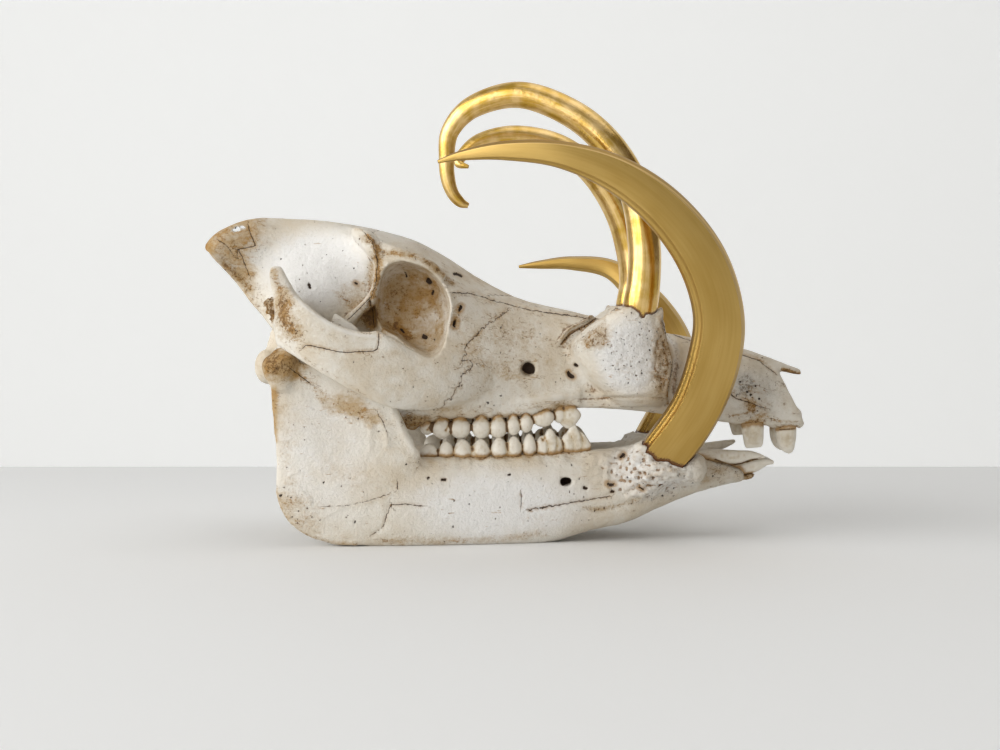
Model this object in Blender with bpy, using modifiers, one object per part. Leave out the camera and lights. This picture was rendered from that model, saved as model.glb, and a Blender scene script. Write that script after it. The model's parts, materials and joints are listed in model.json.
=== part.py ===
"""Skull of a male babirusa with gilded tusks, life size, lying on its lower jaw.

X runs towards the snout, Y towards the animal's left and Z up. The origin is on the table, under the
middle of the skull. Sizes in this file are millimetres, and to_object turns them into metres.
"""

import math
from typing import NamedTuple

import bmesh
import bpy
import numpy as np
from mathutils import Matrix, Vector

MM = 0.001
SIDES = {"right": -1, "left": 1}
GAP = 0.35
CORE_STEPS = 3
RING_POINTS = 40
BAR_POINTS = 20
EGG_SEGMENTS = 20
EGG_RINGS = 12
TUSK_POINTS = 14
TOOTH_POINTS = 10
BONE_VOXEL = 1.5
FUSE_ROUNDS = 2
SMOOTH_ROUNDS = 4
CRANIUM_TRIANGLES = 5400
MANDIBLE_TRIANGLES = 2800
SHEATH_THICK = 3
SHEATH_LIMBS = 3

# Bone is bleached and the tusks are gilded.
BONE_COLOUR = (0.80, 0.76, 0.68, 1)
BONE_ROUGHNESS = 0.6
GOLD_COLOUR = (0.72, 0.49, 0.16, 1)
GOLD_ROUGHNESS = {"upper": 0.25, "lower": 0.45}


class Slice(NamedTuple):
    """Half a cross-section of the skull: the middle of its roof, four corners down its side, its floor."""

    x_roof: float
    x_floor: float
    roof: float
    brow: tuple
    side: tuple
    cheek: tuple
    gum: tuple
    floor: float


# Each corner is (half width, height). From the nuchal crest forward to the snout.
CRANIUM = [
    Slice(-149.5, -125, 148, (29, 145), (21, 127), (24, 106), (18, 96), 97),
    Slice(-142, -119, 155, (30, 151), (22, 128), (32, 104), (26, 90), 85),
    Slice(-126, -110, 160.5, (25, 157), (27, 130), (35, 104), (28, 88), 80),
    Slice(-108, -99, 160.5, (21, 157), (31, 131), (33, 102), (24, 84), 77),
    Slice(-91, -88, 159.5, (22, 156), (32, 129), (27, 98), (18, 80), 75),
    Slice(-77, -76, 158, (28, 152), (29, 127), (21, 95), (15, 78), 73),
    Slice(-66, -66, 156, (38, 146), (27, 122), (20, 92), (15, 76), 72),
    Slice(-58, -58, 154, (43, 142), (40, 119), (32, 88), (24, 67), 70),
    Slice(-45, -45, 150, (42, 137), (46, 110), (41, 82), (32, 62.5), 69),
    Slice(-30, -30, 142, (38, 129), (45, 106), (43, 80), (32, 61.5), 69),
    Slice(-13, -13, 131, (25, 123), (37, 101), (37, 78), (30, 61.5), 69),
    Slice(8, 8, 120.5, (16, 116), (27, 96), (29, 77), (27, 62), 70),
    Slice(33, 33, 114.5, (12.5, 110), (20, 93), (23, 75), (22, 66), 71),
    Slice(60, 60, 108, (12, 103), (16.5, 89), (20, 72), (18, 65), 69),
    Slice(85, 85, 103, (11.5, 99), (15.5, 85), (18, 69), (15, 62), 65),
    Slice(108, 108, 98, (11, 94.5), (15.5, 81), (18.5, 67), (15, 59), 62),
    Slice(124, 124, 93, (10.5, 90), (14.5, 78), (16.5, 65), (13, 57), 59),
    Slice(137, 152, 87, (8, 85), (10, 75), (11, 64), (9, 57), 57),
]


class Bar(NamedTuple):
    """One upright slice of a plate or rail of bone: its middle, half height and half thickness."""

    x: float
    y: float
    z: float
    half_height: float
    half_thick: float


ZYGOMATIC_ARCH = [
    Bar(-4, 25, 84, 8, 6),
    Bar(-18, 35, 83, 12, 8),
    Bar(-32, 44, 82, 14.5, 8),
    Bar(-45, 51, 82, 15, 6),
    Bar(-57, 56, 88, 19, 4.5),
    Bar(-70, 59.5, 90.8, 15.6, 3.6),
    Bar(-84, 61, 95.6, 12.4, 3.6),
    Bar(-97, 59, 104, 13, 4),
    Bar(-106, 53, 110.5, 14.5, 4.5),
    Bar(-112, 44, 112, 13, 5),
    Bar(-114, 32, 111, 12, 7),
]

JAW_BODY = [
    Bar(-92, 43, 21, 13, 4.5),
    Bar(-72, 41, 21, 20.5, 6.5),
    Bar(-45, 37, 21, 22.5, 9),
    Bar(-10, 31, 20.5, 22.5, 10),
    Bar(20, 26, 21.8, 22.4, 10),
    Bar(42, 21.5, 25.4, 20.6, 10),
    Bar(60, 18, 28.5, 20, 11),
    Bar(76, 14, 32.5, 17, 12),
    Bar(92, 10, 32.2, 10.8, 10.5),
    Bar(108, 7, 32, 6.2, 8.5),
    Bar(120, 5, 31, 3, 6.5),
]


class Level(NamedTuple):
    """One level slice of an upright plate: its height, back and front edges, middle and half thickness."""

    z: float
    back: float
    front: float
    y: float
    half_thick: float


JAW_RAMUS = [
    Level(0.5, -84, -62, 41, 3.5),
    Level(6, -98, -58, 42, 4.6),
    Level(14, -107, -55, 43, 4.6),
    Level(27, -111.5, -50, 43.5, 4.4),
    Level(42, -111.5, -40, 43.5, 4),
    Level(56, -112.5, -46.5, 44.5, 3.5),
    Level(70, -113.5, -53, 46, 3.2),
    Level(82, -114, -59, 47, 3.4),
    Level(90, -113, -64, 47.5, 3.2),
]

CANINE_SHEATH = [
    Level(67, 56, 79, 16, 9),
    Level(72, 50, 82, 18, 14),
    Level(80, 42, 83.5, 20, 17),
    Level(90, 35, 83.5, 21.5, 17),
    Level(98, 32, 81, 23, 16),
    Level(106, 40, 79, 26, 13.5),
    Level(112, 50, 77.5, 29.5, 11.5),
    Level(116.5, 55.5, 76, 31.5, 10.2),
]

TEMPORAL_SPUR = [
    Level(98, -115, -82, 53, 4.5),
    Level(104, -112.5, -86, 53, 4.5),
    Level(114, -111.5, -95, 51, 4),
    Level(124, -112.5, -102, 49, 3.2),
    Level(132, -114, -105.5, 47.5, 2.6),
    Level(136.5, -113, -108, 47, 1.6),
]


class Limb(NamedTuple):
    """One ring of a horn, spike or tusk: its middle, half width along its curl, half width across it."""

    x: float
    y: float
    z: float
    along: float
    across: float


BROW_RIM = [
    Limb(-66, 34, 149, 3, 4),
    Limb(-58, 40, 144, 4, 4),
    Limb(-48, 42, 140.5, 4, 4),
    Limb(-38, 41, 136.5, 3.6, 4),
    Limb(-30, 38, 130.5, 3, 3),
]

ORBIT_RIDGE = [
    Limb(-73, 31, 153, 3, 4),
    Limb(-68, 37, 150, 4.5, 4.5),
    Limb(-63.5, 40.5, 144, 4.2, 4.5),
    Limb(-61, 39, 137, 3.2, 4.5),
    Limb(-62, 36, 128, 2.8, 5),
    Limb(-66, 33, 120, 2.8, 5),
    Limb(-74, 29, 112, 2.8, 5),
    Limb(-80, 25, 104, 2.4, 4),
]

UPPER_TUSK = {
    "right": [
        Limb(63, -28, 94, 3.2, 3.2),
        Limb(64.5, -30, 105, 5.8, 5.6),
        Limb(66, -32.5, 115, 8.4, 8.1),
        Limb(68, -34, 130, 8.2, 7.9),
        Limb(68, -35, 148, 8, 7.7),
        Limb(63, -35, 171, 7.8, 7.5),
        Limb(51, -34, 193, 7.4, 7.1),
        Limb(33, -32, 210, 7, 6.7),
        Limb(8, -29, 220.5, 6.5, 6.2),
        Limb(-15, -26, 215.5, 5.6, 5.3),
        Limb(-27, -24, 203.5, 4.6, 4.4),
        Limb(-28, -23, 189, 3.9, 3.7),
        Limb(-26.5, -22, 176, 2.9, 2.8),
        Limb(-19, -21, 166, 0.9, 0.9),
    ],
    "left": [
        Limb(63, 28, 94, 3.2, 3.2),
        Limb(64.5, 30, 105, 5.7, 5.5),
        Limb(66.5, 32, 115, 8.2, 7.9),
        Limb(68.5, 33, 130, 8, 7.7),
        Limb(66, 33, 148, 7.8, 7.5),
        Limb(59, 31, 168, 7.5, 7.2),
        Limb(46, 29, 187, 7, 6.8),
        Limb(28, 26, 202, 6.4, 6.2),
        Limb(6, 23, 208, 5.6, 5.4),
        Limb(-12, 20, 204, 4.6, 4.4),
        Limb(-22, 18, 196, 3.4, 3.2),
        Limb(-24, 16, 189.5, 2.4, 2.2),
        Limb(-19, 14, 186.5, 0.9, 0.9),
    ],
}

LOWER_TUSK = {
    "right": [
        Limb(56, -18, 21, 3.5, 3.5),
        Limb(67, -25.5, 32, 8.5, 6.8),
        Limb(79.5, -33, 46, 12, 9),
        Limb(92, -41, 67, 12.8, 9),
        Limb(99.5, -50, 92, 13, 8.8),
        Limb(100, -56, 115, 12.6, 8.4),
        Limb(92, -61, 140, 11.8, 7.8),
        Limb(75, -64, 163, 10.6, 7),
        Limb(52, -65, 179.5, 8.8, 6),
        Limb(26, -65, 188.5, 6.4, 5),
        Limb(0, -63, 190.5, 4.6, 3.9),
        Limb(-20, -61, 188.5, 2.5, 2.4),
        Limb(-32, -60, 185.5, 0.8, 0.8),
    ],
    "left": [
        Limb(56, 18, 21, 3.5, 3.5),
        Limb(67, 25.5, 32, 8.2, 6.6),
        Limb(79.5, 34, 45, 11.6, 8.8),
        Limb(90, 46, 62, 12, 8.8),
        Limb(94, 60, 81, 12, 8.4),
        Limb(90, 73, 101, 11.2, 8),
        Limb(78, 82, 120, 10, 7.2),
        Limb(60, 87, 134, 8, 6.2),
        Limb(38, 89, 141, 5.6, 4.8),
        Limb(20, 90, 142, 3.2, 3),
        Limb(7, 90, 140.5, 0.8, 0.8),
    ],
}


class Lump(NamedTuple):
    """An egg of bone, or of air: its middle, its half sizes, and its turn about X, Y and Z in degrees."""

    centre: tuple
    radii: tuple
    turn: tuple = (0, 0, 0)


# Those of a pair are given for the left side.
NASAL_TIP = Lump((136.5, 0, 87.5), (18, 8, 2.6), (0, 18, 0))
OCCIPUT = Lump((-126, 0, 101), (8, 14, 16))
CRANIUM_LUMPS = {
    "cheek knob": Lump((-56, 56.5, 103), (5.5, 4, 5)),
    "occipital condyle": Lump((-123, 12, 86), (6, 8, 9)),
    "process beside it": Lump((-108, 31, 78), (6, 4, 20), (0, -12, 0)),
    "ear capsule": Lump((-92, 20, 72), (13, 8, 10), (0, 15, 0)),
    "pterygoid": Lump((-60, 13, 68), (7, 3, 13), (0, -20, 0)),
}
CRANIUM_HOLLOWS = {
    "eye socket": Lump((-43.5, 50, 117), (17.5, 33, 21.5)),
    "back of the eye socket": Lump((-57, 47, 118), (16, 28, 17)),
    "nerve hole": Lump((11.5, 31, 86), (4.7, 9, 4.9)),
    "ear pit": Lump((-120, 42, 110), (4, 12, 6)),
}
MIDDLE_HOLLOWS = {
    "nose": Lump((150, 0, 74), (34, 7.5, 9), (0, 12, 0)),
    "back of the crest": Lump((-156, 0, 121), (18, 16, 22), (0, 30, 0)),
    "foramen magnum": Lump((-128, 0, 101), (26, 8.5, 9)),
    "back of the palate": Lump((-44, 0, 63), (22, 10, 9)),
}
JAW_LUMPS = {
    "jaw condyle": Lump((-109, 49, 89.5), (8, 11.5, 6)),
    "coronoid process": Lump((-78, 45, 98), (9, 2.4, 14.5)),
    "tusk root": Lump((70, 22, 36), (19, 11, 13), (0, -35, 0)),
}

# Corners of a lower tusk's section: first along its curl, then across towards the animal's left.
LOWER_TUSK_CORNERS = [(1, 0.25), (0.2, 1), (-0.9, 0.55), (-1, -0.1), (-0.5, -0.85), (0.55, -0.8)]


class Cusp(NamedTuple):
    """One cusp pair of a cheek tooth: where it stands in the row, crown height, half length, half breadth."""

    x: float
    height: float
    half_length: float
    half_breadth: float
    point: float


# From the last molar forward to the front premolar. The last value runs from blunt, 0, to pointed, 1.
UPPER_CUSPS = [
    Cusp(-40.8, 8, 2.8, 4.5, 0.1),
    Cusp(-33.7, 10.3, 4.9, 6.8, 0.15),
    Cusp(-24.5, 10.3, 5, 7.2, 0.15),
    Cusp(-14.4, 10.1, 4.6, 7, 0.15),
    Cusp(-5.8, 9.8, 4.5, 6.8, 0.15),
    Cusp(2.6, 8.9, 3.9, 6.2, 0.15),
    Cusp(8.9, 7.9, 3.6, 6, 0.2),
    Cusp(17.2, 7.9, 5.1, 5.2, 0.2),
    Cusp(28.2, 8.4, 6.4, 3.8, 0.7),
]
LOWER_CUSPS = [
    Cusp(-39.2, 7, 4, 4.8, 0.2),
    Cusp(-31.8, 9, 4, 6, 0.3),
    Cusp(-23, 9.3, 4.8, 6.4, 0.35),
    Cusp(-13.4, 9.3, 4.6, 6.2, 0.35),
    Cusp(-5.2, 9.6, 4.2, 6, 0.35),
    Cusp(2.8, 9.8, 4, 5.6, 0.3),
    Cusp(10, 10.6, 3.9, 5.2, 0.35),
    Cusp(20.2, 12, 5.8, 4.6, 0.6),
    Cusp(33.4, 14.6, 7.2, 3.8, 0.9),
]
UPPER_ROW = [(-45, 27, 62), (10, 24.5, 62), (22, 23, 65.5), (40, 20, 66)]
LOWER_ROW = [(-45, 31, 41.5), (10, 25.5, 42.5), (40, 20, 44)]
ROOT = 6

UPPER_INCISORS = {
    "right": [
        [Limb(143, -6, 63, 4.6, 3), Limb(142.5, -6, 54, 5.5, 3.6), Limb(143, -6.2, 48, 4.8, 3.2),
         Limb(144.3, -6.4, 44.2, 3, 2.4), Limb(145, -6.5, 42.4, 1, 0.9)],
        [Limb(123.5, -11, 66, 4.6, 3), Limb(124.6, -11.6, 58, 5.8, 3.3), Limb(125.2, -12, 51.5, 5.3, 2.8),
         Limb(125.4, -12.2, 47.2, 4.7, 2), Limb(125.5, -12.2, 45.6, 3.9, 1)],
    ],
    "left": [
        [Limb(142, 6, 63, 4.6, 3), Limb(141.5, 6, 54, 5.5, 3.6), Limb(142, 6.2, 48, 4.8, 3.2),
         Limb(143.2, 6.4, 44.6, 3, 2.4), Limb(143.9, 6.5, 43, 1, 0.9)],
        [Limb(120.5, 11, 66, 4.6, 3), Limb(121, 11.6, 60, 5.6, 3.3), Limb(121.6, 12, 55, 5.1, 2.8),
         Limb(121.8, 12.2, 51.6, 4.4, 2), Limb(121.9, 12.2, 50.2, 3.7, 1)],
    ],
}
LOWER_INCISORS = {
    "right": [
        [Limb(104, -3.9, 32, 3, 2.6), Limb(115, -4.1, 33.6, 3.2, 3.4), Limb(121, -4.1, 34.7, 3.5, 3.6),
         Limb(127, -4.1, 36.3, 3.8, 3.6), Limb(132.6, -4, 37.8, 2.2, 3.2), Limb(136.8, -3.9, 37.4, 0.9, 1.8)],
        [Limb(95, -8.6, 40, 3, 2.6), Limb(104, -10, 41.5, 3.2, 3.2), Limb(112, -10.6, 41, 3.5, 3.5),
         Limb(118, -10.8, 40.9, 3.3, 3.4), Limb(124.5, -10.4, 41.8, 2.1, 2.8), Limb(131.2, -9.8, 40.7, 0.7, 1.4)],
    ],
    "left": [
        [Limb(104, 3.9, 32, 3, 2.6), Limb(115, 4.1, 33.6, 3.2, 3.4), Limb(121, 4.1, 34.7, 3.5, 3.6),
         Limb(127, 4.1, 36.3, 3.8, 3.6), Limb(132.4, 4, 38, 2.2, 3.2), Limb(136.2, 3.9, 37.8, 0.9, 1.8)],
        [Limb(90, 8.6, 38.6, 3, 2.6), Limb(100, 9.6, 42.4, 3.3, 3), Limb(109.5, 9.8, 44.6, 2.6, 3.1),
         Limb(116, 9.6, 46.4, 1.6, 2.6), Limb(119, 9.2, 47.4, 0.7, 1.4)],
    ],
}


def smooth_through(points, count, closed=False):
    """Points along the smooth curve through the given ones."""
    given = np.asarray(points, float)
    if closed:
        padded = np.vstack([given[-1], given, given[0], given[1]])
        spans = len(given)
        steps = np.arange(count) * spans / count
    else:
        padded = np.vstack([2 * given[0] - given[1], given, 2 * given[-1] - given[-2]])
        spans = len(given) - 1
        steps = np.linspace(0, spans, count)
    span = np.minimum(steps.astype(int), spans - 1)
    share = (steps - span)[:, None]
    a, b, c, d = (padded[span + offset] for offset in range(4))
    curve = 2 * b + (c - a) * share
    curve += (2 * a - 5 * b + 4 * c - d) * share**2
    curve += (3 * b - a - 3 * c + d) * share**3
    return curve / 2


def loft(rings):
    """A closed skin over rings of points that all have as many points."""
    mesh = bmesh.new()
    ring = bmesh.ops.create_circle(mesh, segments=len(rings[0]), radius=1)["verts"]
    edges = list(mesh.edges)
    ends = [list(ring)]
    for number, places in enumerate(rings):
        if number:
            grown = bmesh.ops.extrude_edge_only(mesh, edges=edges)["geom"]
            new = {part for part in grown if isinstance(part, bmesh.types.BMVert)}
            edges = [part for part in grown if isinstance(part, bmesh.types.BMEdge)]
            ring = [next(e.other_vert(v) for e in v.link_edges if e.other_vert(v) in new) for v in ring]
        for vert, place in zip(ring, places):
            vert.co = Vector(place)
    ends.append(ring)
    for end in ends:
        bmesh.ops.contextual_create(mesh, geom=end)
    bmesh.ops.recalc_face_normals(mesh, faces=mesh.faces)
    return mesh


def skull_ring(values):
    """The full cross-section at one row of slice values."""
    x_roof, x_floor, roof = values[:3]
    floor = values[-1]
    corners = values[3:-1].reshape(-1, 2)
    half = [(0, roof), *corners, (0, floor)]
    whole = half + [(-y, z) for y, z in half[-2:0:-1]]
    ring = smooth_through(whole, RING_POINTS, closed=True)
    share = (roof - ring[:, 1]) / (roof - floor)
    return np.column_stack([x_roof + (x_floor - x_roof) * share, ring])


def skull_core():
    """Braincase, face and snout as one solid."""
    rows = [np.hstack([np.ravel(value) for value in one]) for one in CRANIUM]
    rows = smooth_through(rows, (len(rows) - 1) * CORE_STEPS + 1)
    return loft([skull_ring(row) for row in rows])


def oval(count, squareness):
    """A unit oval: 1 is an ellipse, and less is squarer."""
    turn = np.linspace(0, 2 * math.pi, count, endpoint=False)
    cos, sin = np.cos(turn), np.sin(turn)
    return (np.sign(cos) * abs(cos) ** squareness, np.sign(sin) * abs(sin) ** squareness)


def bar_loft(bars, side, squareness=0.75, steps=3):
    """A rail whose slices stand upright, across its own run in plan."""
    path = smooth_through(bars, (len(bars) - 1) * steps + 1)
    run = np.gradient(path[:, :2], axis=0)
    run /= np.linalg.norm(run, axis=1)[:, None]
    thick, high = oval(BAR_POINTS, squareness)
    rings = []
    for (x, y, z, half_height, half_thick), (run_x, run_y) in zip(path, run):
        offset = thick * half_thick
        rings.append(np.column_stack([
            x - run_y * offset,
            side * (y + run_x * offset),
            z + high * half_height,
        ]))
    return loft(rings)


def level_loft(levels, side, squareness=0.8, steps=2):
    """An upright plate whose slices are level."""
    rows = smooth_through(levels, (len(levels) - 1) * steps + 1)
    along, thick = oval(BAR_POINTS, squareness)
    rings = []
    for z, back, front, y, half_thick in rows:
        rings.append(np.column_stack([
            (back + front) / 2 + along * (front - back) / 2,
            side * (y + thick * half_thick),
            np.full(BAR_POINTS, z),
        ]))
    return loft(rings)


def limb_loft(limbs, section, steps=3, grow=0):
    """A horn along a curve in space, with the given unit section swept square to it."""
    path = smooth_through(limbs, (len(limbs) - 1) * steps + 1)
    run = np.gradient(path[:, :3], axis=0)
    rings = []
    for (x, y, z, along, across), way in zip(path, run):
        way = Vector(way).normalized()
        beside = Vector((0, 1, 0))
        beside = (beside - way * beside.dot(way)).normalized()
        outward = beside.cross(way)
        rings.append([
            Vector((x, y, z)) + outward * (u * (along + grow)) + beside * (v * (across + grow))
            for u, v in section
        ])
    return loft(rings)


def egg(lump, side=1):
    """The egg-shaped solid of a lump, on the given side."""
    mesh = bmesh.new()
    bmesh.ops.create_uvsphere(mesh, u_segments=EGG_SEGMENTS, v_segments=EGG_RINGS, radius=1)
    turned = Matrix.Identity(4)
    for axis, degrees in zip("XYZ", lump.turn):
        turned = Matrix.Rotation(math.radians(degrees), 4, axis) @ turned
    x, y, z = lump.centre
    placed = Matrix.Translation((x, side * y, z)) @ turned @ Matrix.Diagonal((*lump.radii, 1))
    bmesh.ops.transform(mesh, matrix=placed, verts=mesh.verts)
    return mesh


def ridge_loft(ridge, side):
    """A rounded ridge of bone on the given side."""
    limbs = [limb._replace(y=side * limb.y) for limb in ridge]
    return limb_loft(limbs, RIDGE_SECTION)


def to_object(name, shells, collection):
    """One object from shells in millimetres."""
    whole = bmesh.new()
    for shell in shells:
        piece = bpy.data.meshes.new("piece")
        shell.to_mesh(piece)
        whole.from_mesh(piece)
        shell.free()
        bpy.data.meshes.remove(piece)
    bmesh.ops.scale(whole, vec=(MM, MM, MM), verts=whole.verts)
    mesh = bpy.data.meshes.new(name)
    whole.to_mesh(mesh)
    whole.free()
    made = bpy.data.objects.new(name, mesh)
    collection.objects.link(made)
    return made


def settle(made):
    """Applies the object's modifiers."""
    bpy.context.view_layer.update()
    graph = bpy.context.evaluated_depsgraph_get()
    mesh = bpy.data.meshes.new_from_object(made.evaluated_get(graph))
    made.modifiers.clear()
    made.data = mesh


def boolean(made, others, operation):
    """Joins or cuts an object with a collection of closed meshes, which are then removed."""
    bool_mod = made.modifiers.new(operation, "BOOLEAN")
    bool_mod.operation = operation
    bool_mod.operand_type = "COLLECTION"
    bool_mod.collection = others
    bool_mod.solver = "EXACT"
    settle(made)
    for other in list(others.objects):
        bpy.data.objects.remove(other)
    bpy.data.collections.remove(others)


def remesh(made, rounds):
    """Fuses overlapping shells into one skin and softens its seams."""
    fused = made.modifiers.new("fuse", "REMESH")
    fused.mode = "VOXEL"
    fused.voxel_size = BONE_VOXEL * MM
    soft = made.modifiers.new("soften", "SMOOTH")
    soft.factor = 0.5
    soft.iterations = rounds
    settle(made)


def thin_out(made, triangles):
    """Fewer triangles, more of them where the shape bends."""
    made.data.calc_loop_triangles()
    fewer = made.modifiers.new("thin out", "DECIMATE")
    fewer.ratio = triangles / len(made.data.loop_triangles)
    settle(made)


def cut_flat(made):
    """Flattens what would reach below the table."""
    mesh = bmesh.new()
    mesh.from_mesh(made.data)
    cut = bmesh.ops.bisect_plane(
        mesh, geom=[*mesh.verts, *mesh.edges, *mesh.faces], plane_co=(0, 0, 0), plane_no=(0, 0, 1),
        clear_inner=True)
    rim = [part for part in cut["geom_cut"] if isinstance(part, bmesh.types.BMEdge)]
    bmesh.ops.holes_fill(mesh, edges=rim)
    mesh.to_mesh(made.data)
    mesh.free()


def keep_largest(made):
    """Drops all but the largest closed surface."""
    mesh = bmesh.new()
    mesh.from_mesh(made.data)
    left = set(mesh.verts)
    groups = []
    while left:
        group, edge = set(), [left.pop()]
        while edge:
            vert = edge.pop()
            group.add(vert)
            near = {e.other_vert(vert) for e in vert.link_edges} & left
            left -= near
            edge += near
        groups.append(group)
    groups.sort(key=len)
    for group in groups[:-1]:
        bmesh.ops.delete(mesh, geom=list(group), context="VERTS")
    mesh.to_mesh(made.data)
    mesh.free()


def helpers(name):
    """A collection for pieces that are joined or cut away."""
    made = bpy.data.collections.new(name)
    bpy.context.scene.collection.children.link(made)
    return made


def finish(name, colour, metallic, roughness, made):
    """Gives the object its own material and smooth shading."""
    material = bpy.data.materials.new(name)
    material.use_nodes = True
    shader = material.node_tree.nodes["Principled BSDF"]
    shader.inputs["Base Color"].default_value = colour
    shader.inputs["Metallic"].default_value = metallic
    shader.inputs["Roughness"].default_value = roughness
    made.data.materials.clear()
    made.data.materials.append(material)
    made.data.shade_smooth()


RIDGE_SECTION = list(zip(*oval(10, 1)))


def tusk_section(kind):
    """The unit section of a tusk: upper ones are nearly round, lower ones three-sided."""
    if kind == "upper":
        return list(zip(*oval(TUSK_POINTS, 0.9)))
    return [tuple(point) for point in smooth_through(LOWER_TUSK_CORNERS, TUSK_POINTS, closed=True)]


def row_place(row, x):
    """Where a row of teeth runs at the given x: how far from the middle, and the height of the gum."""
    xs, ys, zs = zip(*row)
    return np.interp(x, xs, ys), np.interp(x, xs, zs)


def cusp_loft(cusp, row, side, down):
    """One bulging cusp pair on its root."""
    y, gum = row_place(row, cusp.x)
    heights = [-ROOT, 0, 0.32 * cusp.height, 0.72 * cusp.height, cusp.height]
    swells = [0.55, 0.82, 1.06, 0.92 - 0.4 * cusp.point, 0.5 - 0.4 * cusp.point]
    along, across = oval(TOOTH_POINTS, 0.85)
    rings = []
    for height, swell in zip(heights, swells):
        rings.append(np.column_stack([
            cusp.x + along * cusp.half_length * swell,
            side * (y + across * cusp.half_breadth * swell),
            np.full(TOOTH_POINTS, gum - height if down else gum + height),
        ]))
    return loft(rings)


def add_teeth(made, cusps, row, incisors, down):
    """Fuses every tooth to its bone by one union."""
    teeth = helpers(f"{made.name} teeth")
    for side_name, side in SIDES.items():
        for number, cusp in enumerate(cusps):
            to_object(f"cusp {side_name} {number}", [cusp_loft(cusp, row, side, down)], teeth)
        for number, limbs in enumerate(incisors[side_name]):
            shell = limb_loft(limbs, list(zip(*oval(TOOTH_POINTS, 0.85))), steps=1)
            to_object(f"incisor {side_name} {number}", [shell], teeth)
    boolean(made, teeth, "UNION")


def deeper(limbs):
    """The same limbs with the root pushed back along its run, to clear the root's end."""
    first, second = limbs[:2]
    back = Vector(first[:3]) - Vector(second[:3])
    end = Vector(first[:3]) + back.normalized() * 2 * GAP
    return [Limb(*end, first.along, first.across), *limbs[1:]]


def cut_sockets(made, tusks, kind):
    """Cuts the room for each tusk's root, a hair wider than the root."""
    sockets = helpers(f"{made.name} sockets")
    for side, limbs in tusks.items():
        shell = limb_loft(deeper(limbs), tusk_section(kind), steps=2, grow=GAP)
        to_object(f"socket {side}", [shell], sockets)
    boolean(made, sockets, "DIFFERENCE")


def cut_hollows(made):
    """Opens the eye sockets, nose, ear pits and nerve holes, and hollows the back of the head."""
    hollows = helpers(f"{made.name} hollows")
    for name, lump in MIDDLE_HOLLOWS.items():
        to_object(name, [egg(lump)], hollows)
    for name, lump in CRANIUM_HOLLOWS.items():
        for side in SIDES.values():
            to_object(name, [egg(lump, side)], hollows)
    boolean(made, hollows, "DIFFERENCE")


def build_cranium(bones):
    shells = [skull_core(), egg(NASAL_TIP), egg(OCCIPUT)]
    for side in SIDES.values():
        shells += [bar_loft(ZYGOMATIC_ARCH, side), level_loft(TEMPORAL_SPUR, side)]
        shells += [level_loft(CANINE_SHEATH, side, squareness=0.95)]
        shells += [ridge_loft(ridge, side) for ridge in (ORBIT_RIDGE, BROW_RIM)]
        shells += [egg(lump, side) for lump in CRANIUM_LUMPS.values()]
    made = to_object("cranium", shells, bones)
    remesh(made, FUSE_ROUNDS)
    cut_hollows(made)
    remesh(made, SMOOTH_ROUNDS)
    thin_out(made, CRANIUM_TRIANGLES)
    add_teeth(made, UPPER_CUSPS, UPPER_ROW, UPPER_INCISORS, down=True)
    cut_sockets(made, UPPER_TUSK, "upper")
    keep_largest(made)
    finish("bleached bone", BONE_COLOUR, 0, BONE_ROUGHNESS, made)
    return made


def build_mandible(bones):
    shells = []
    for side in SIDES.values():
        shells += [bar_loft(JAW_BODY, side), level_loft(JAW_RAMUS, side)]
        shells += [egg(lump, side) for lump in JAW_LUMPS.values()]
    for limbs in LOWER_TUSK.values():
        shells.append(limb_loft(limbs[:SHEATH_LIMBS], tusk_section("lower"), grow=SHEATH_THICK))
    made = to_object("mandible", shells, bones)
    remesh(made, SMOOTH_ROUNDS)
    thin_out(made, MANDIBLE_TRIANGLES)
    add_teeth(made, LOWER_CUSPS, LOWER_ROW, LOWER_INCISORS, down=False)
    cut_sockets(made, LOWER_TUSK, "lower")
    cut_flat(made)
    keep_largest(made)
    finish("bleached jaw bone", BONE_COLOUR, 0, BONE_ROUGHNESS, made)
    return made


def build_tusks(bones):
    made = []
    for kind, tusks in (("upper", UPPER_TUSK), ("lower", LOWER_TUSK)):
        for side, limbs in tusks.items():
            shell = limb_loft(limbs, tusk_section(kind), steps=2)
            tusk = to_object(f"{kind}_tusk_{side}", [shell], bones)
            finish(f"gilding {kind} {side}", GOLD_COLOUR, 1, GOLD_ROUGHNESS[kind], tusk)
            made.append(tusk)
    return made


def centre(pieces):
    """Moves the pieces together until the middle of their box stands over the origin."""
    places = np.array([vert.co[:] for made in pieces for vert in made.data.vertices])
    middle = (places.min(axis=0) + places.max(axis=0)) / 2
    for made in pieces:
        made.data.transform(Matrix.Translation((-middle[0], -middle[1], 0)))


def main():
    for old in list(bpy.data.objects):
        bpy.data.objects.remove(old)
    bones = helpers("babirusa skull")
    centre([build_cranium(bones), build_mandible(bones), *build_tusks(bones)])


main()
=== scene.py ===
"""The looks of a life-size babirusa skull with gilded tusks: bone, teeth, gold, table, light and camera.

The shape tables are in millimetres, measured from the skull's own middle plane: X runs towards the
snout, Y to the animal's left and Z up from the table. Finished pieces are moved into the frame in metres.
"""

import itertools
import json
import math
from typing import NamedTuple

import bmesh
import bpy
import numpy as np
from mathutils import Matrix, Vector
from mathutils.bvhtree import BVHTree

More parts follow.
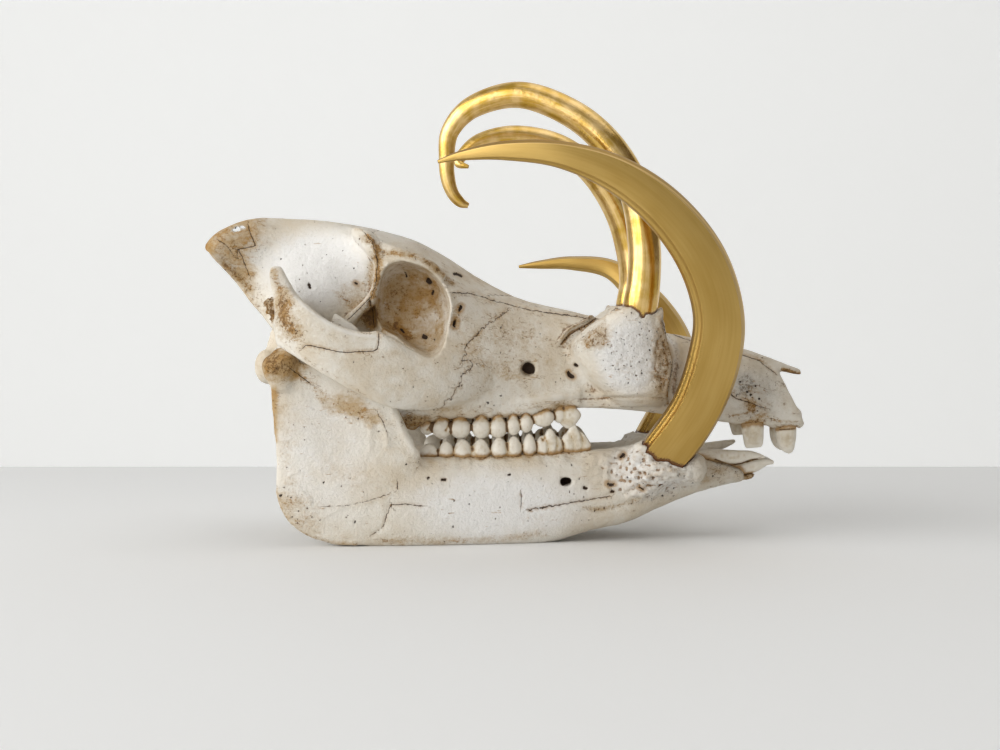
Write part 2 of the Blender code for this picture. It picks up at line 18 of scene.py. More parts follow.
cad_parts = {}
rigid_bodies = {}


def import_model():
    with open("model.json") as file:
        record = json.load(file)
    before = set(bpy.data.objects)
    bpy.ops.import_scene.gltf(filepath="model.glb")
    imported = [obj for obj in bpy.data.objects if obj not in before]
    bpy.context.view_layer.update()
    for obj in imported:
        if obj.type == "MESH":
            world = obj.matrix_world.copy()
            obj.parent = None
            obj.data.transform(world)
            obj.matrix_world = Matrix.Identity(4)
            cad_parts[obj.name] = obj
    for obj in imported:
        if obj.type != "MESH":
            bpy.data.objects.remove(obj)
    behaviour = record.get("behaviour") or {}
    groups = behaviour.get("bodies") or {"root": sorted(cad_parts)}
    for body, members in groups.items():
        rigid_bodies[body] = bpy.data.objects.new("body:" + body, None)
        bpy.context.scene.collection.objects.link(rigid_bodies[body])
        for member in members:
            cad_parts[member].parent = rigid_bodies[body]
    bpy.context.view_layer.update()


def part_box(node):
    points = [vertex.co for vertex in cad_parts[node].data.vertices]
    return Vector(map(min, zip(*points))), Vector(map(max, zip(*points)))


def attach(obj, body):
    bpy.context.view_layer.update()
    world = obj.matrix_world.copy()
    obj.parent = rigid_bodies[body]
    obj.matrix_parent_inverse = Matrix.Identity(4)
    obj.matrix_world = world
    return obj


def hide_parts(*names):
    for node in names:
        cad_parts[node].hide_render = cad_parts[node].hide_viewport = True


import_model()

MM = 0.001
SIDES = {"right": -1, "left": 1}
# How fine the skins are, in millimetres, and the most triangles of one piece.
BONE_VOXEL = 0.95
TOOTH_VOXEL = 0.43
MOST_TRIANGLES = 190000
# How many points the slices, rims, bars and teeth have round them.
RING_POINTS = 80
RIM_POINTS = 64
BAR_POINTS = 48
TOOTH_POINTS = 20
# The room between a tusk and the walls of its socket.
SOCKET_ROOM = 0.3
# A distance to a hole or seam that is out of reach of both.
FAR = 30.0
# How far from the bone its nearness still shows on teeth and tusks.
GUM_REACH = 4
# How far from the teeth the bone is browned.
TEETH_BROWNING_REACH = 3
# How much bone there is round the root of a lower tusk.
COLLAR = 3
# The least height of the jaw over the table, so that its roughness doesn't dip into it.
OFF_TABLE = 0.02


class Slice(NamedTuple):
    """Half a cross-section of the skull: its roof, four corners down its side and its floor."""

    x_roof: float
    x_floor: float
    roof: float
    brow: tuple
    side: tuple
    cheek: tuple
    gum: tuple
    floor: float


# Each corner is (half width, height). From the nuchal crest forward to the snout.
CRANIUM = [
    Slice(-149.5, -108.5, 148, (29, 145), (21, 127), (24, 106), (18, 96), 97),
    Slice(-142, -101, 155, (30, 151), (22, 128), (32, 104), (26, 90), 85),
    Slice(-126, -96.5, 160.5, (25, 157), (27, 130), (35, 104), (28, 88), 80),
    Slice(-108, -93, 160.5, (21, 157), (31, 131), (33, 102), (24, 84), 77),
    Slice(-91, -86, 159.5, (22, 156), (32, 129), (27, 98), (18, 80), 75),
    Slice(-77, -76, 158, (28, 152), (29, 127), (21, 95), (15, 78), 73),
    Slice(-66, -66, 156, (38, 146), (27, 122), (20, 92), (15, 76), 72),
    Slice(-58, -58, 154, (43, 142), (40, 119), (32, 88), (24, 67), 70),
    Slice(-45, -45, 150, (42, 137), (46, 110), (41, 82), (32, 62.5), 69),
    Slice(-30, -30, 142, (38, 129), (45, 106), (43, 80), (32, 61.5), 69),
    Slice(-13, -13, 131, (25, 123), (37, 101), (37, 78), (30, 61.5), 69),
    Slice(8, 8, 120.5, (16, 116), (27, 96), (29, 77), (27, 62), 70),
    Slice(33, 33, 114.5, (12.5, 110), (20, 93), (23, 75), (22, 66), 71),
    Slice(60, 60, 108, (12, 103), (16.5, 89), (20, 72), (18, 65), 69),
    Slice(85, 85, 103, (11.5, 99), (15.5, 85), (18, 69), (15, 62), 65),
    Slice(108, 108, 98, (11, 94.5), (15.5, 81), (18.5, 67), (15, 59), 62),
    Slice(124, 124, 93, (10.5, 90), (14.5, 78), (16.5, 65), (13, 57), 59),
    Slice(137, 152, 87, (8, 85), (10, 75), (11, 64), (9, 57), 57),
]

# Rails of bone as upright slices: the middle, half height and half thickness.
ZYGOMATIC_ARCH = [
    (-4, 25, 84, 8, 6), (-18, 35, 83, 12, 8), (-32, 44, 82, 14.5, 8), (-45, 51, 82, 15, 6),
    (-57, 56, 87, 18, 4.5), (-70, 59.5, 90.2, 15, 3.6), (-84, 61, 96.8, 13.6, 3.6),
    (-97, 59, 105.6, 14.6, 4), (-104.5, 53, 110.5, 15, 4.5), (-108, 44, 110, 13, 4),
    (-108, 32, 109, 12, 5),
]
UPPER_GUM = [
    (-51.5, 28, 63, 4, 5), (-46, 27.4, 62, 6.6, 6.5), (-38, 27, 65, 6, 7), (-10, 25.5, 66.8, 4.9, 7.2),
    (12, 24.4, 67.4, 5, 7), (24, 22.8, 69.8, 4.6, 6.2), (37, 20.5, 71, 4.6, 4.5),
]
JAW_BODY = [
    (-92, 43, 21, 13, 4.5), (-72, 41, 21, 20.5, 6.5), (-45, 37, 21, 22.5, 9), (-10, 31, 20.5, 22.5, 10),
    (20, 26, 21.8, 22.4, 10), (42, 21.5, 25.2, 20.2, 10), (60, 18, 27.6, 19, 11),
    (76, 14, 32.5, 17, 12), (92, 10, 32.2, 10.8, 10.5), (108, 7, 32, 6.2, 8.5), (120, 5, 31, 3, 6.5),
]

# Upright plates as level slices: the height, back and front edges, middle and half thickness.
JAW_RAMUS = [
    (0.5, -84, -62, 41, 3.5), (6, -98, -58, 42, 4.6), (14, -107, -55, 43, 4.6),
    (27, -111.5, -50, 43.5, 4.4), (42, -111.5, -40, 43.5, 4), (56, -112.5, -46.5, 44.5, 3.5),
    (70, -113.5, -53, 46, 3.2), (82, -114, -59, 47, 3.4), (90, -113, -64, 47.5, 3.2),
]
CANINE_SHEATH = [
    (67, 56, 79, 16, 9), (72, 50, 82, 18, 14), (80, 42, 83.5, 20, 17), (90, 35, 83.5, 21.5, 17),
    (98, 32, 81, 23, 16), (106, 40, 79.5, 26, 13.5), (111.5, 48, 77.5, 29, 11.6),
    (114.5, 52, 74.5, 30.5, 10.6), (116.8, 54.5, 67, 31, 9.6),
]
CORONOID = [
    (76, -92, -60, 46, 3), (90, -90, -65, 45.5, 2.4), (100, -87.5, -68.5, 45, 2),
    (106, -86, -70.5, 44.6, 1.7), (110, -84.6, -76, 44.4, 1.4), (113, -83.6, -80.6, 44.2, 1),
    (114.2, -83.2, -82, 44.2, 0.7),
]
JAW_CONDYLE = [
    (76, -112, -103, 48, 3.6), (79.5, -114.3, -102, 48, 4.4), (84.5, -116.7, -101, 48, 6.6),
    (88.5, -117.4, -100, 48, 8.6), (91.5, -115.8, -99.5, 48, 9), (94.6, -111.8, -99.8, 48, 8),
    (97, -108.8, -101, 48, 6),
]
TEMPORAL_SPUR = [
    (98, -109.5, -80, 53, 4.5), (104, -110.5, -83, 53, 4.5), (114, -111, -91, 51.5, 4),
    (120, -111.5, -97.5, 50, 3.6), (125, -112.5, -101.5, 49, 3.2), (132, -114, -105.5, 47.5, 2.6),
    (136.5, -113, -108, 47, 1.6),
]

# Horns and ridges as rings: the middle, half width along the curl and half width across it.
BROW_RIM = [
    (-66, 34, 149, 3, 4), (-58, 40, 144, 4, 4), (-48, 42, 140.5, 4, 4), (-38, 41, 136.5, 3.6, 4),
    (-30, 38, 130.5, 3, 3),
]
ORBIT_RIDGE = [
    (-73, 31, 153, 3, 4), (-68, 37, 150, 4.5, 4.5), (-63.5, 40.5, 144, 4.2, 4.5),
    (-61, 39, 137, 3.2, 4.5), (-62, 36, 128, 2.8, 5), (-66, 33, 120, 2.8, 5), (-74, 29, 112, 2.8, 5),
    (-80, 25, 104, 2.4, 4),
]
UPPER_TUSK = {
    "right": [
        (63, -28, 94, 3.2, 3.2), (64.5, -30, 105, 5.8, 5.6), (66, -32.5, 115, 8.4, 8.1),
        (68, -34, 130, 8.2, 7.9), (68, -35, 148, 8, 7.7), (63.8, -35, 171.8, 7.9, 7.5),
        (51.8, -34, 194, 7.5, 7.1), (33.5, -32, 210.6, 7, 6.7), (8, -29, 220.5, 6.5, 6.2),
        (-15, -26, 215.5, 5.6, 5.3), (-27, -24, 203.5, 4.6, 4.4), (-28.9, -23, 189, 3.9, 3.7),
        (-28.3, -22.5, 180, 3.6, 3.4), (-26, -22, 173, 3.1, 3), (-22.2, -21.5, 168.5, 2.6, 2.4),
        (-18.2, -21, 166.8, 1.3, 1.2),
    ],
    "left": [
        (63, 28, 94, 3.2, 3.2), (64.5, 30, 105, 5.7, 5.5), (66.5, 32, 115, 8.2, 7.9),
        (68.5, 33, 130, 8, 7.7), (66, 33, 148, 7.8, 7.5), (59, 31, 168, 7.5, 7.2),
        (46, 29, 187, 7, 6.8), (28, 26, 200.4, 6.2, 6), (6, 23, 205.4, 5.4, 5.2),
        (-12, 20, 202.4, 4.4, 4.2), (-21.5, 18, 195.4, 3.3, 3.2), (-23.8, 16, 190.6, 2.4, 2.2),
        (-18.8, 14, 188.6, 0.9, 0.9),
    ],
}
LOWER_TUSK = {
    "right": [
        (56, -18, 21, 3.5, 3.5), (67, -25.5, 32, 8.5, 6.8), (79.5, -33, 46, 12, 9),
        (93, -41, 67, 12.3, 9), (100.9, -50, 92, 12.8, 8.8), (101.8, -56, 115, 12.2, 8.4),
        (92.8, -61, 140.4, 11.8, 7.8), (75, -64, 163, 10.6, 7), (52, -65, 179.5, 8.8, 6),
        (26, -65, 188.5, 6.4, 5), (0, -63, 190.5, 4.6, 3.9), (-20, -61, 188.5, 2.5, 2.4),
        (-32, -60, 185.5, 0.8, 0.8),
    ],
    "left": [
        (56, 18, 21, 3.5, 3.5), (67, 25.5, 32, 8.2, 6.6), (79.5, 34, 45, 11.6, 8.8),
        (90, 46, 62, 12, 8.8), (94, 60, 81, 12, 8.4), (90, 73, 101, 11.2, 8), (78, 82, 120.6, 9, 7.2),
        (60, 87, 136.8, 5.6, 6.2), (38, 89, 140.6, 3.9, 4.8), (20, 90, 139.8, 2.4, 3),
        (8, 90, 138.6, 0.8, 0.8),
    ],
}


class Lump(NamedTuple):
    """An egg of bone, or of air: its middle, its half sizes, and its turn about X, Y and Z in degrees."""

    centre: tuple
    radii: tuple
    turn: tuple = (0, 0, 0)


# The tip of the nose in the middle plane, as upright slices: the middle, half height and half breadth.
NASAL_TIP = [
    (112, 0, 93.5, 4.2, 9), (124, 0, 91.3, 3.2, 8.6), (134, 0, 88.4, 2.6, 8), (143, 0, 85.2, 2.3, 7),
    (150.8, 0, 82.6, 2, 5),
]
OCCIPUT = Lump((-113, 0, 95), (9, 15, 14))
# Eggs of a pair are given for the left side.
CRANIUM_LUMPS = {
    "cheek knob": Lump((-57, 57.5, 104.4), (2.6, 3.4, 3.4), (0, 20, 0)),
    "edge before the upper tusk": Lump((76.2, 30, 112), (1.8, 6, 5), (0, 8, 0)),
    "occipital condyle": Lump((-119.2, 12, 86.5), (6.8, 8, 9)),
    "torn edge behind the cheek arch": Lump((-113.6, 42, 117), (3.4, 3.6, 4.4), (0, -20, 0)),
    "torn edge below it": Lump((-112.2, 43, 111), (1.5, 3, 4)),
    "process beside it": Lump((-108, 31, 78), (6, 4, 20), (0, -12, 0)),
    "ear capsule": Lump((-92, 20, 72), (13, 8, 10), (0, 15, 0)),
    "pterygoid": Lump((-60, 13, 68), (7, 3, 13), (0, -20, 0)),
    "gum of the front tooth": Lump((140.5, 6.4, 61), (10.5, 4.6, 6.4), (0, -6, 0)),
    "gum of the tooth behind it": Lump((124, 11, 62), (7, 4.6, 4.2)),
    "hook at the end of the snout": Lump((149.6, 5, 57), (2, 2.4, 2.6)),
}
FACE_NERVE_HOLE = Lump((11.5, 31, 86), (4.2, 10, 4.4))
JAW_NERVE_HOLE = Lump((30, 34, 30.5), (3.2, 9, 2.1), (0, 12, 0))
MIDDLE_HOLLOWS = {
    "nose": Lump((150, 0, 74), (34, 7.5, 9), (0, 12, 0)),
    "back of the crest": Lump((-143, 0, 127), (13, 16, 21), (0, -39, 0)),
    "foramen magnum": Lump((-122, 0, 99), (22, 8, 8)),
    "back of the palate": Lump((-44, 0, 63), (22, 10, 9)),
}
JAW_LUMPS = {
    "tusk root": Lump((70, 22, 36), (19, 11, 13), (0, -35, 0)),
    "front rim of the socket": Lump((92, 31, 37.5), (8.5, 8.5, 9), (0, 12, 0)),
    "rear peak of the socket": Lump((67.5, 32, 44.5), (6, 8, 7), (0, 18, 0)),
    "front of the socket": Lump((91, 24, 36), (9, 8, 8.5)),
    "rear rim of the socket": Lump((78, 37, 36.5), (11, 7, 6), (0, 8, 0)),
    "crumb at the front": Lump((124, 4, 30.4), (3.8, 3.4, 1.7), (0, -18, 0)),
}
# The ragged slit through the crest, as eggs along it that all slant towards the camera.
CREST_SLIT = [
    Lump((-137.2, 0, 155.5), (1.4, 60, 0.8), (2.4, 5, 8.4)),
    Lump((-135.4, 0, 156.1), (1.5, 60, 1.2), (2.4, 25, 8.4)),
    Lump((-133.4, 0, 157), (1.3, 60, 0.7), (2.4, 10, 8.4)),
]


class Cusp(NamedTuple):
    """One cusp pair of a cheek tooth. Its point runs from 0, blunt, to 1, sharp."""

    x: float
    height: float
    half_length: float
    half_breadth: float
    point: float


# Roughly from the last molar forward to the front premolar.
UPPER_CUSPS = [
    Cusp(-38.6, 7.5, 3.4, 4.5, 0.1),
    Cusp(-31.2, 9.2, 4.9, 6.6, 0.1),
    Cusp(-22.2, 9.3, 5.1, 7, 0.15),
    Cusp(-11.7, 9.4, 4.6, 6.8, 0.15),
    Cusp(-3.5, 9, 4.4, 6.6, 0.1),
    Cusp(4.1, 8.2, 3.5, 6.2, 0.1),
    Cusp(10.4, 8, 3.4, 6, 0.15),
    Cusp(18.8, 8.3, 5.3, 5.2, 0.1),
    Cusp(27, 6.8, 3.3, 3.5, 0.2),
    Cusp(31.4, 9.8, 6.3, 3.8, 0.6),
]
LOWER_CUSPS = [
    Cusp(-37.6, 7.6, 4.6, 4.8, 0.2),
    Cusp(-29, 9.3, 3.8, 6, 0.35),
    Cusp(-20.9, 10.4, 4.8, 6.4, 0.4),
    Cusp(-12, 10.4, 4.5, 6.2, 0.4),
    Cusp(-15.6, 7.4, 2.2, 5.4, 0.3),
    Cusp(-2.9, 10.6, 4.1, 6, 0.35),
    Cusp(4.4, 10.2, 3.8, 5.6, 0.35),
    Cusp(1.4, 7.8, 1.9, 4.8, 0.3),
    Cusp(12, 11, 3.4, 5.2, 0.35),
    Cusp(22.4, 13.2, 4, 4.4, 0.45),
    Cusp(18.6, 9.6, 3.6, 4.4, 0.25),
    Cusp(25.6, 9.2, 3.1, 4.1, 0.3),
    Cusp(34, 15.8, 5.2, 3.6, 0.9),
    Cusp(31.2, 10.2, 3.9, 3.7, 0.35),
    Cusp(37.6, 10.4, 5.4, 3.4, 0.7),
]
# Where the rows of cheek teeth run: X, how far from the middle plane, and the height of the gum.
UPPER_ROW = [
    (-45, 27, 60.8), (-3, 25.3, 60.6), (6, 24.7, 61.2), (13, 24.2, 62.8), (19, 23.3, 65.4), (40, 20, 66),
]
LOWER_ROW = [
    (-45, 31, 41.6), (-20, 28.5, 41), (-8, 27.3, 41.2), (5, 26, 42.6), (22, 23.5, 43), (40, 20, 44.2),
]
ROOT_DEPTH = 6

# Front teeth as rings, like the tusks.
UPPER_INCISORS = {
    "right": [
        [(143, -6, 63, 4.6, 3), (142.5, -6, 54, 5.5, 3.6), (143, -6.2, 48, 4.8, 3.2),
         (144.3, -6.4, 44.2, 3, 2.4), (145, -6.5, 42.4, 1, 0.9)],
        [(123.5, -11, 66, 4.6, 3), (124.6, -11.6, 58, 5.8, 3.3), (125.2, -12, 51.5, 5.3, 2.8),
         (125.4, -12.2, 47.2, 4.7, 2), (125.5, -12.2, 45.6, 3.9, 1)],
    ],
    "left": [
        [(142, 6, 63, 4.6, 3), (141.5, 6, 54, 5.5, 3.6), (142, 6.2, 48, 4.8, 3.2),
         (143.2, 6.4, 44.6, 3, 2.4), (143.9, 6.5, 43, 1, 0.9)],
        [(120.5, 11, 66, 4.6, 3), (121, 11.6, 60, 5.6, 3.3), (121.6, 12, 55, 5.1, 2.8),
         (121.8, 12.2, 51.6, 4.4, 2), (121.9, 12.2, 50.2, 3.7, 1)],
    ],
}
LOWER_INCISORS = {
    "right": [
        [(104, -3.9, 32, 3, 2.6), (115, -4.1, 33.6, 3.2, 3.4), (121, -4.1, 34.7, 3.5, 3.6),
         (127, -4.1, 36.3, 3.8, 3.6), (132.6, -4, 37.8, 2.2, 3.2), (136.8, -3.9, 37.4, 0.9, 1.8)],
        [(95, -8.6, 40, 3, 2.6), (104, -10, 41.5, 3.2, 3.2), (112, -10.6, 41, 3.5, 3.5),
         (118, -10.8, 40.9, 3.3, 3.4), (124.5, -10.4, 41.8, 2.1, 2.8), (131.2, -9.8, 40.7, 0.7, 1.4)],
    ],
    "left": [
        [(104, 3.9, 32, 3, 2.6), (115, 4.1, 33.6, 3.2, 3.4), (121, 4.1, 34.7, 3.5, 3.6),
         (127, 4.1, 36.3, 3.8, 3.6), (132.4, 4, 38, 2.2, 3.2), (136.2, 3.9, 37.8, 0.9, 1.8)],
        [(90, 8.6, 38.6, 3, 2.6), (100, 9.6, 42.4, 3.3, 3), (109.5, 9.8, 44.6, 2.6, 3.1),
         (116, 9.6, 46.4, 1.6, 2.6), (119, 9.2, 47.4, 0.7, 1.4)],
    ],
}

# The rim of the eye socket as seen from the side.
ORBIT_RIM = [
    (-57, 136.5), (-51, 139), (-44.5, 138), (-38, 135.5), (-32.5, 131), (-28.5, 125.5), (-26, 117),
    (-27.5, 107), (-30, 97), (-36, 92.5), (-45, 96.5), (-52, 101.5), (-59, 105), (-63.4, 111),
    (-62.6, 120), (-60.6, 130),
]
# How it closes inwards: how far from the middle plane, its size, and its shift along X.
ORBIT_DEPTHS = [
    (80, 1.12, 0), (54, 1.02, 0), (46, 1, 0), (38, 0.98, -0.5), (31, 0.93, -1.5), (26, 0.84, -2.5),
    (22, 0.7, -3), (19.5, 0.5, -4), (18.5, 0.2, -4),
]


class Stroke(NamedTuple):
    """A line worked into a bone, seen from one side, and the marks that it leaves."""

    path: list
    half_width: float
    height: float = 0
    stain: float = 0
    pores: float = 0
    clean: float = 0
    warm: float = 0
    view: str = "side"
    edge: float = 2


class Hole(NamedTuple):
    """A small dark hole or pit in a bone, seen from the side, and the width of its brown halo."""

    path: list
    half_width: float
    depth: float = 1.0
    halo: float = 0.3


class Seam(NamedTuple):
    """A suture or crack: a fine dark line that wavers by up to the given width."""

    path: list
    dark: float = 1
    waver: float = 0.5
    depth: float = 0.25
    view: str = "side"
    curved: bool = False


class Patch(NamedTuple):
    """An egg-shaped part of a bone with marks of its own, given for the left side."""

    centre: tuple
    radii: tuple
    stain: float = 0
    pores: float = 0
    grey: float = 0
    clean: float = 0
    warm: float = 0
    rough: float = 0
    rough_size: float = 2


MARKS = ("stain", "pores", "grey", "clean", "warm")
# Brown stain and pores, left on bone next to the teeth and on the tongue side of the cheek teeth. It has no
# place of its own.
TEETH_BROWNING = Patch((), (), stain=1, pores=0.7)
# Lines that are both a groove or ridge and a fine seam.
SECOND_JAW_LINE = [(-86, 20), (-75.5, 20.5), (-63.5, 23.5), (-52.5, 27.5), (-52.5, 31)]
FIFTH_JAW_LINE = [(-55.5, 20.5), (-48.5, 21), (-41, 20)]
JAW_BODY_LINE = [(12, 17), (27.5, 19.5), (42.5, 21.5), (51.5, 23)]
SNOUT_SEAM = [(99.5, 81), (108, 78), (115.5, 71), (124, 68), (130.5, 66)]

CRANIUM_STROKES = {
    # The lip's pale line is a painted highlight.
    "lip of the eye socket": Stroke(ORBIT_RIM[:13], 0.9, 0.35, clean=0.15),
    "brown band above the eye socket": Stroke(
        [(-58, 143), (-49, 142), (-39.5, 139.5), (-31.5, 133.5), (-26, 128.5)], 2.2, -0.4, stain=0.8,
        pores=0.8),
    "front edge of the braincase": Stroke(
        [(-76, 155), (-71.5, 154), (-67, 152), (-64.2, 148), (-63, 143), (-62.6, 137), (-63.6, 128),
         (-66, 121), (-71.5, 116), (-78, 111)], 1.1, 0.9, stain=0.45, pores=0.5),
    "stain on the post behind the eye socket": Stroke(
        [(-67, 151), (-63, 146.5), (-61.8, 140), (-62, 131), (-64.5, 122)], 2.8, 0, stain=1, pores=0.7),
    "tip of the nose bone": Stroke([(141, 84.6), (150, 82)], 1.5, 0, stain=1.3),
    "porous strip ahead of the braincase": Stroke(
        [(-69, 150), (-62, 145.5), (-64, 141), (-66, 135), (-66.5, 129), (-65.5, 124)], 2.8, -0.6,
        stain=0.7, pores=1),
    # Partly stain, partly painted shade: these strokes brown the eye socket's top under its rim and its
    # lower back, and make it ochre low down.
    "stain and painted shade at the back of the eye socket": Stroke(
        [(-60, 129), (-62, 120), (-60, 110)], 9, 0, stain=0.45, warm=0.5),
    "stain and painted shade at the top of the eye socket": Stroke(
        [(-54, 134), (-46, 133), (-39, 130)], 6, 0, stain=0.4, warm=0.4),
    "streak high in the eye socket": Stroke(
        [(-52, 126), (-46, 122), (-42, 120)], 4, 0, stain=0.2, warm=0.5),
    "stain and painted shade low in the eye socket": Stroke(
        [(-38, 96.5), (-33, 101), (-30.5, 107)], 4.5, 0, stain=0.3, warm=0.6),
    "brown hollow low in the eye socket": Stroke(
        [(-54, 107.5), (-50.5, 105), (-47, 101.5)], 3.4, -0.9, stain=1.1, warm=0.5),
    # Painted shade, partly stain: the cleft behind the eye socket is browned.
    "cleft behind the eye socket": Stroke([(-66, 121), (-65, 107)], 0.9, -1.6, stain=0.8),
    "rim of the crest": Stroke(
        [(-148, 143), (-147, 146), (-145.5, 149.5), (-140.5, 154), (-134.5, 157), (-128.5, 159),
         (-120.5, 160.5), (-108, 161), (-91, 160), (-77, 157)], 1.4, 0.7, stain=0.3),
    "lower edge of the crest": Stroke(
        [(-148, 143), (-142.5, 140.5), (-138.5, 137), (-133, 131), (-128.5, 124), (-124, 114)], 1.8,
        0.7, stain=0.6),
    # The pale lines along both edges of the cheek arch are painted highlights.
    "upper edge of the cheek arch": Stroke(
        [(-108, 133), (-102.5, 124), (-97, 118.5), (-91, 113.5), (-84, 109), (-76, 105), (-68, 103),
         (-60, 102.5)], 1.1, 0.35, clean=0.4),
    "lower edge of the cheek arch": Stroke(
        [(-112, 99), (-100, 91), (-85, 82), (-72, 73.5), (-60, 66.5), (-48, 63.5)], 1.5, 0.5,
        clean=0.6),
    "groove over the lower edge of the cheek arch": Stroke(
        [(-104, 98), (-92, 90.5), (-78, 82), (-66, 74)], 0.7, -0.3, stain=0.4, pores=0.3),
    "face ridge": Stroke(
        [(-25, 124.5), (-16.5, 124.5), (-6.5, 121.5), (1.5, 119.5), (12, 116.5), (22.5, 115),
         (42, 112)], 1.6, 0.6),
    "groove under the face ridge": Stroke(
        [(-24, 122.5), (-16.5, 122), (-6.5, 118.5), (1.5, 116.5), (12, 113.5), (22.5, 112)], 0.9, -0.4,
        stain=0.3),
    "stain round the tear holes": Stroke(
        [(-22, 118), (-24, 112), (-23, 106)], 2.6, -0.6, stain=0.5, pores=0.3),
    "flange of the sheath": Stroke(
        [(27.5, 99.5), (31.5, 104.5), (39.5, 108.5), (47.5, 113.5), (49.5, 115), (55.5, 116.5)], 0.8,
        1.9, stain=0.75, pores=0.8, edge=3),
    "groove under the flange": Stroke(
        [(29.5, 97), (33.5, 101.5), (41, 105.5), (48.5, 110.5)], 1.8, -0.8, stain=0.35, pores=1),
    "pores under the flange": Stroke([(33, 97), (39, 101), (46, 104)], 3.5, -0.2, stain=0.5, pores=1),
    "front edge of the sheath": Stroke(
        [(75, 111), (77, 105.5), (80, 98), (82, 91), (81, 83), (79.5, 75), (81, 68.5)], 1.1, 1.1,
        stain=0.85, pores=1),
    # Painted light: the recess before the sheath is made paler to lift its shade.
    "recess before the sheath": Stroke(
        [(80, 108), (85, 99), (86.5, 90), (85.5, 81), (85.5, 70)], 2.4, -1.8, clean=0.6),
    "valley behind the sheath": Stroke(
        [(28, 97), (31.5, 90.5), (34.5, 85), (38, 79.5), (43, 75)], 2.6, -0.6, stain=0.15, pores=0.2),
    "ledge under the sheath": Stroke([(7.5, 71), (27, 72), (47, 73), (66.5, 74.5), (80.5, 74.5)], 1.1, 0.5),
    "line under the ledge": Stroke(
        [(7.5, 69), (27, 70), (47, 71), (66.5, 72), (80.5, 71)], 0.7, -0.4, stain=0.45),
    # Painted shadow, partly stain: the recess under the overhanging cheek, over the teeth, is browned.
    "recess over the teeth": Stroke(
        [(-44, 66.5), (-20, 66), (5, 66.5), (30, 68)], 2.4, -0.6, stain=0.4, pores=0.3),
    "stain at the root of the cheek arch": Stroke(
        [(-105.5, 121), (-106, 113), (-102, 106)], 6, 0, stain=0.95, pores=1),
    "stain on the spur": Stroke([(-111.5, 133), (-107.5, 124), (-102, 115)], 2.6, 0, stain=0.65, pores=0.8),
    "stain on the crest": Stroke(
        [(-146, 147), (-139, 149), (-133, 141), (-128, 131)], 8, 0, stain=0.6, warm=0.9),
    "stain on the rim of the crest": Stroke(
        [(-148, 143), (-145.5, 149.5), (-134.5, 157), (-120.5, 160)], 3, 0, stain=0.7, warm=0.6),
    "stain under the crest": Stroke([(-139, 138), (-132, 131), (-127, 126)], 3, 0, stain=0.9, pores=0.8),
    "groove along the nose": Stroke([(115.5, 95), (128.5, 90.5), (136, 84.5)], 1, -0.6, stain=0.5),
    "groove along the snout": Stroke(SNOUT_SEAM, 1, -0.3, stain=0.3),
    "gum line of the front teeth": Stroke(
        [(114, 62), (121, 63), (130.5, 61.5), (137, 59), (147, 58.5)], 1.3, -0.4, stain=0.7),
}
CRANIUM_HOLES = {
    "high in the eye socket": Hole([(-38.2, 129.6), (-37.6, 128.6)], 1.1, 1.6, 0.8),
    "below it": Hole([(-35.7, 124.4), (-36.3, 123)], 0.4, 0.8, 1.4),
    "low in the eye socket": Hole([(-40.4, 101.9), (-39.6, 101.6)], 0.9, 1.2, 0.6),
    "cavity low in the eye socket": Hole([(-51.6, 105.6), (-50.2, 104.2)], 0.5, 0.8, 1.6),
    "crack high in the eye socket": Hole([(-49.5, 134), (-49.2, 132.8), (-48.8, 131.5)], 0.15, 0.2),
    "upper tear hole": Hole([(-21.4, 116.8), (-22.2, 115)], 0.45, 2, 2),
    "lower tear hole": Hole([(-24, 110), (-24.5, 107.6)], 0.6, 2.2, 2.2),
    "slit over the eye": Hole([(-25, 133), (-23.4, 132.8), (-21.5, 131.8)], 0.45, 1, 0.8),
    "behind the sheath": Hole([(34.6, 87.9), (35.6, 87.2)], 0.55, 1.6, 0.8),
    "low behind the sheath": Hole([(31.6, 84), (32.4, 82.4), (33.8, 81.8)], 0.7, 1.6, 1.6),
    "nerve hole of the face": Hole([(11.2, 86.2), (12.2, 85.8)], 2.5, 0.2, 0.6),
    "pit in the braincase": Hole([(-96.4, 128), (-95.8, 126)], 0.55, 0.7, 0.5),
    "pit at the edge of the braincase": Hole([(-74, 128.6), (-73.2, 128)], 0.3, 0.5, 1.6),
}
# Pits: where each lies and its half width, which is its depth too.
CRANIUM_PITS = [
    (-82, 138.8, 0.28), (-74.3, 135.6, 0.3), (-73.6, 134.2, 0.22), (-102.8, 129.6, 0.3),
    (-103.6, 131, 0.2), (-91, 119.3, 0.3), (-79.2, 123.3, 0.25), (-85.2, 150.3, 0.25),
    (-110.6, 140.2, 0.2), (-97, 121, 0.2), (-84.4, 125.6, 0.22), (-76.8, 119.5, 0.3),
    (-78, 131.4, 0.22), (-80, 127.5, 0.25), (-88, 142.4, 0.2), (121.5, 74, 0.5), (123.5, 72.5, 0.6),
    (126, 77, 0.5), (118, 79, 0.35), (119.5, 76.4, 0.3), (127.6, 70.5, 0.4), (-2, 106.4, 0.3),
    (8.6, 97.6, 0.25), (17.4, 103.5, 0.3), (20.6, 88.4, 0.35), (-12.6, 90.4, 0.3), (25, 79.4, 0.3),
    (4.6, 84.5, 0.25), (-44, 78.6, 0.3), (-61.4, 84.4, 0.25), (-72, 90.5, 0.3), (-37.4, 73.6, 0.3),
    (-2, 73, 0.35), (-8.5, 69.6, 0.45), (-5.4, 68.2, 0.3), (58, 98.6, 0.4), (63.4, 92.3, 0.4),
    (69.8, 101.4, 0.45), (55.4, 86.2, 0.3), (66.8, 84.2, 0.4), (60.2, 79.6, 0.3), (70.8, 95.6, 0.35),
]
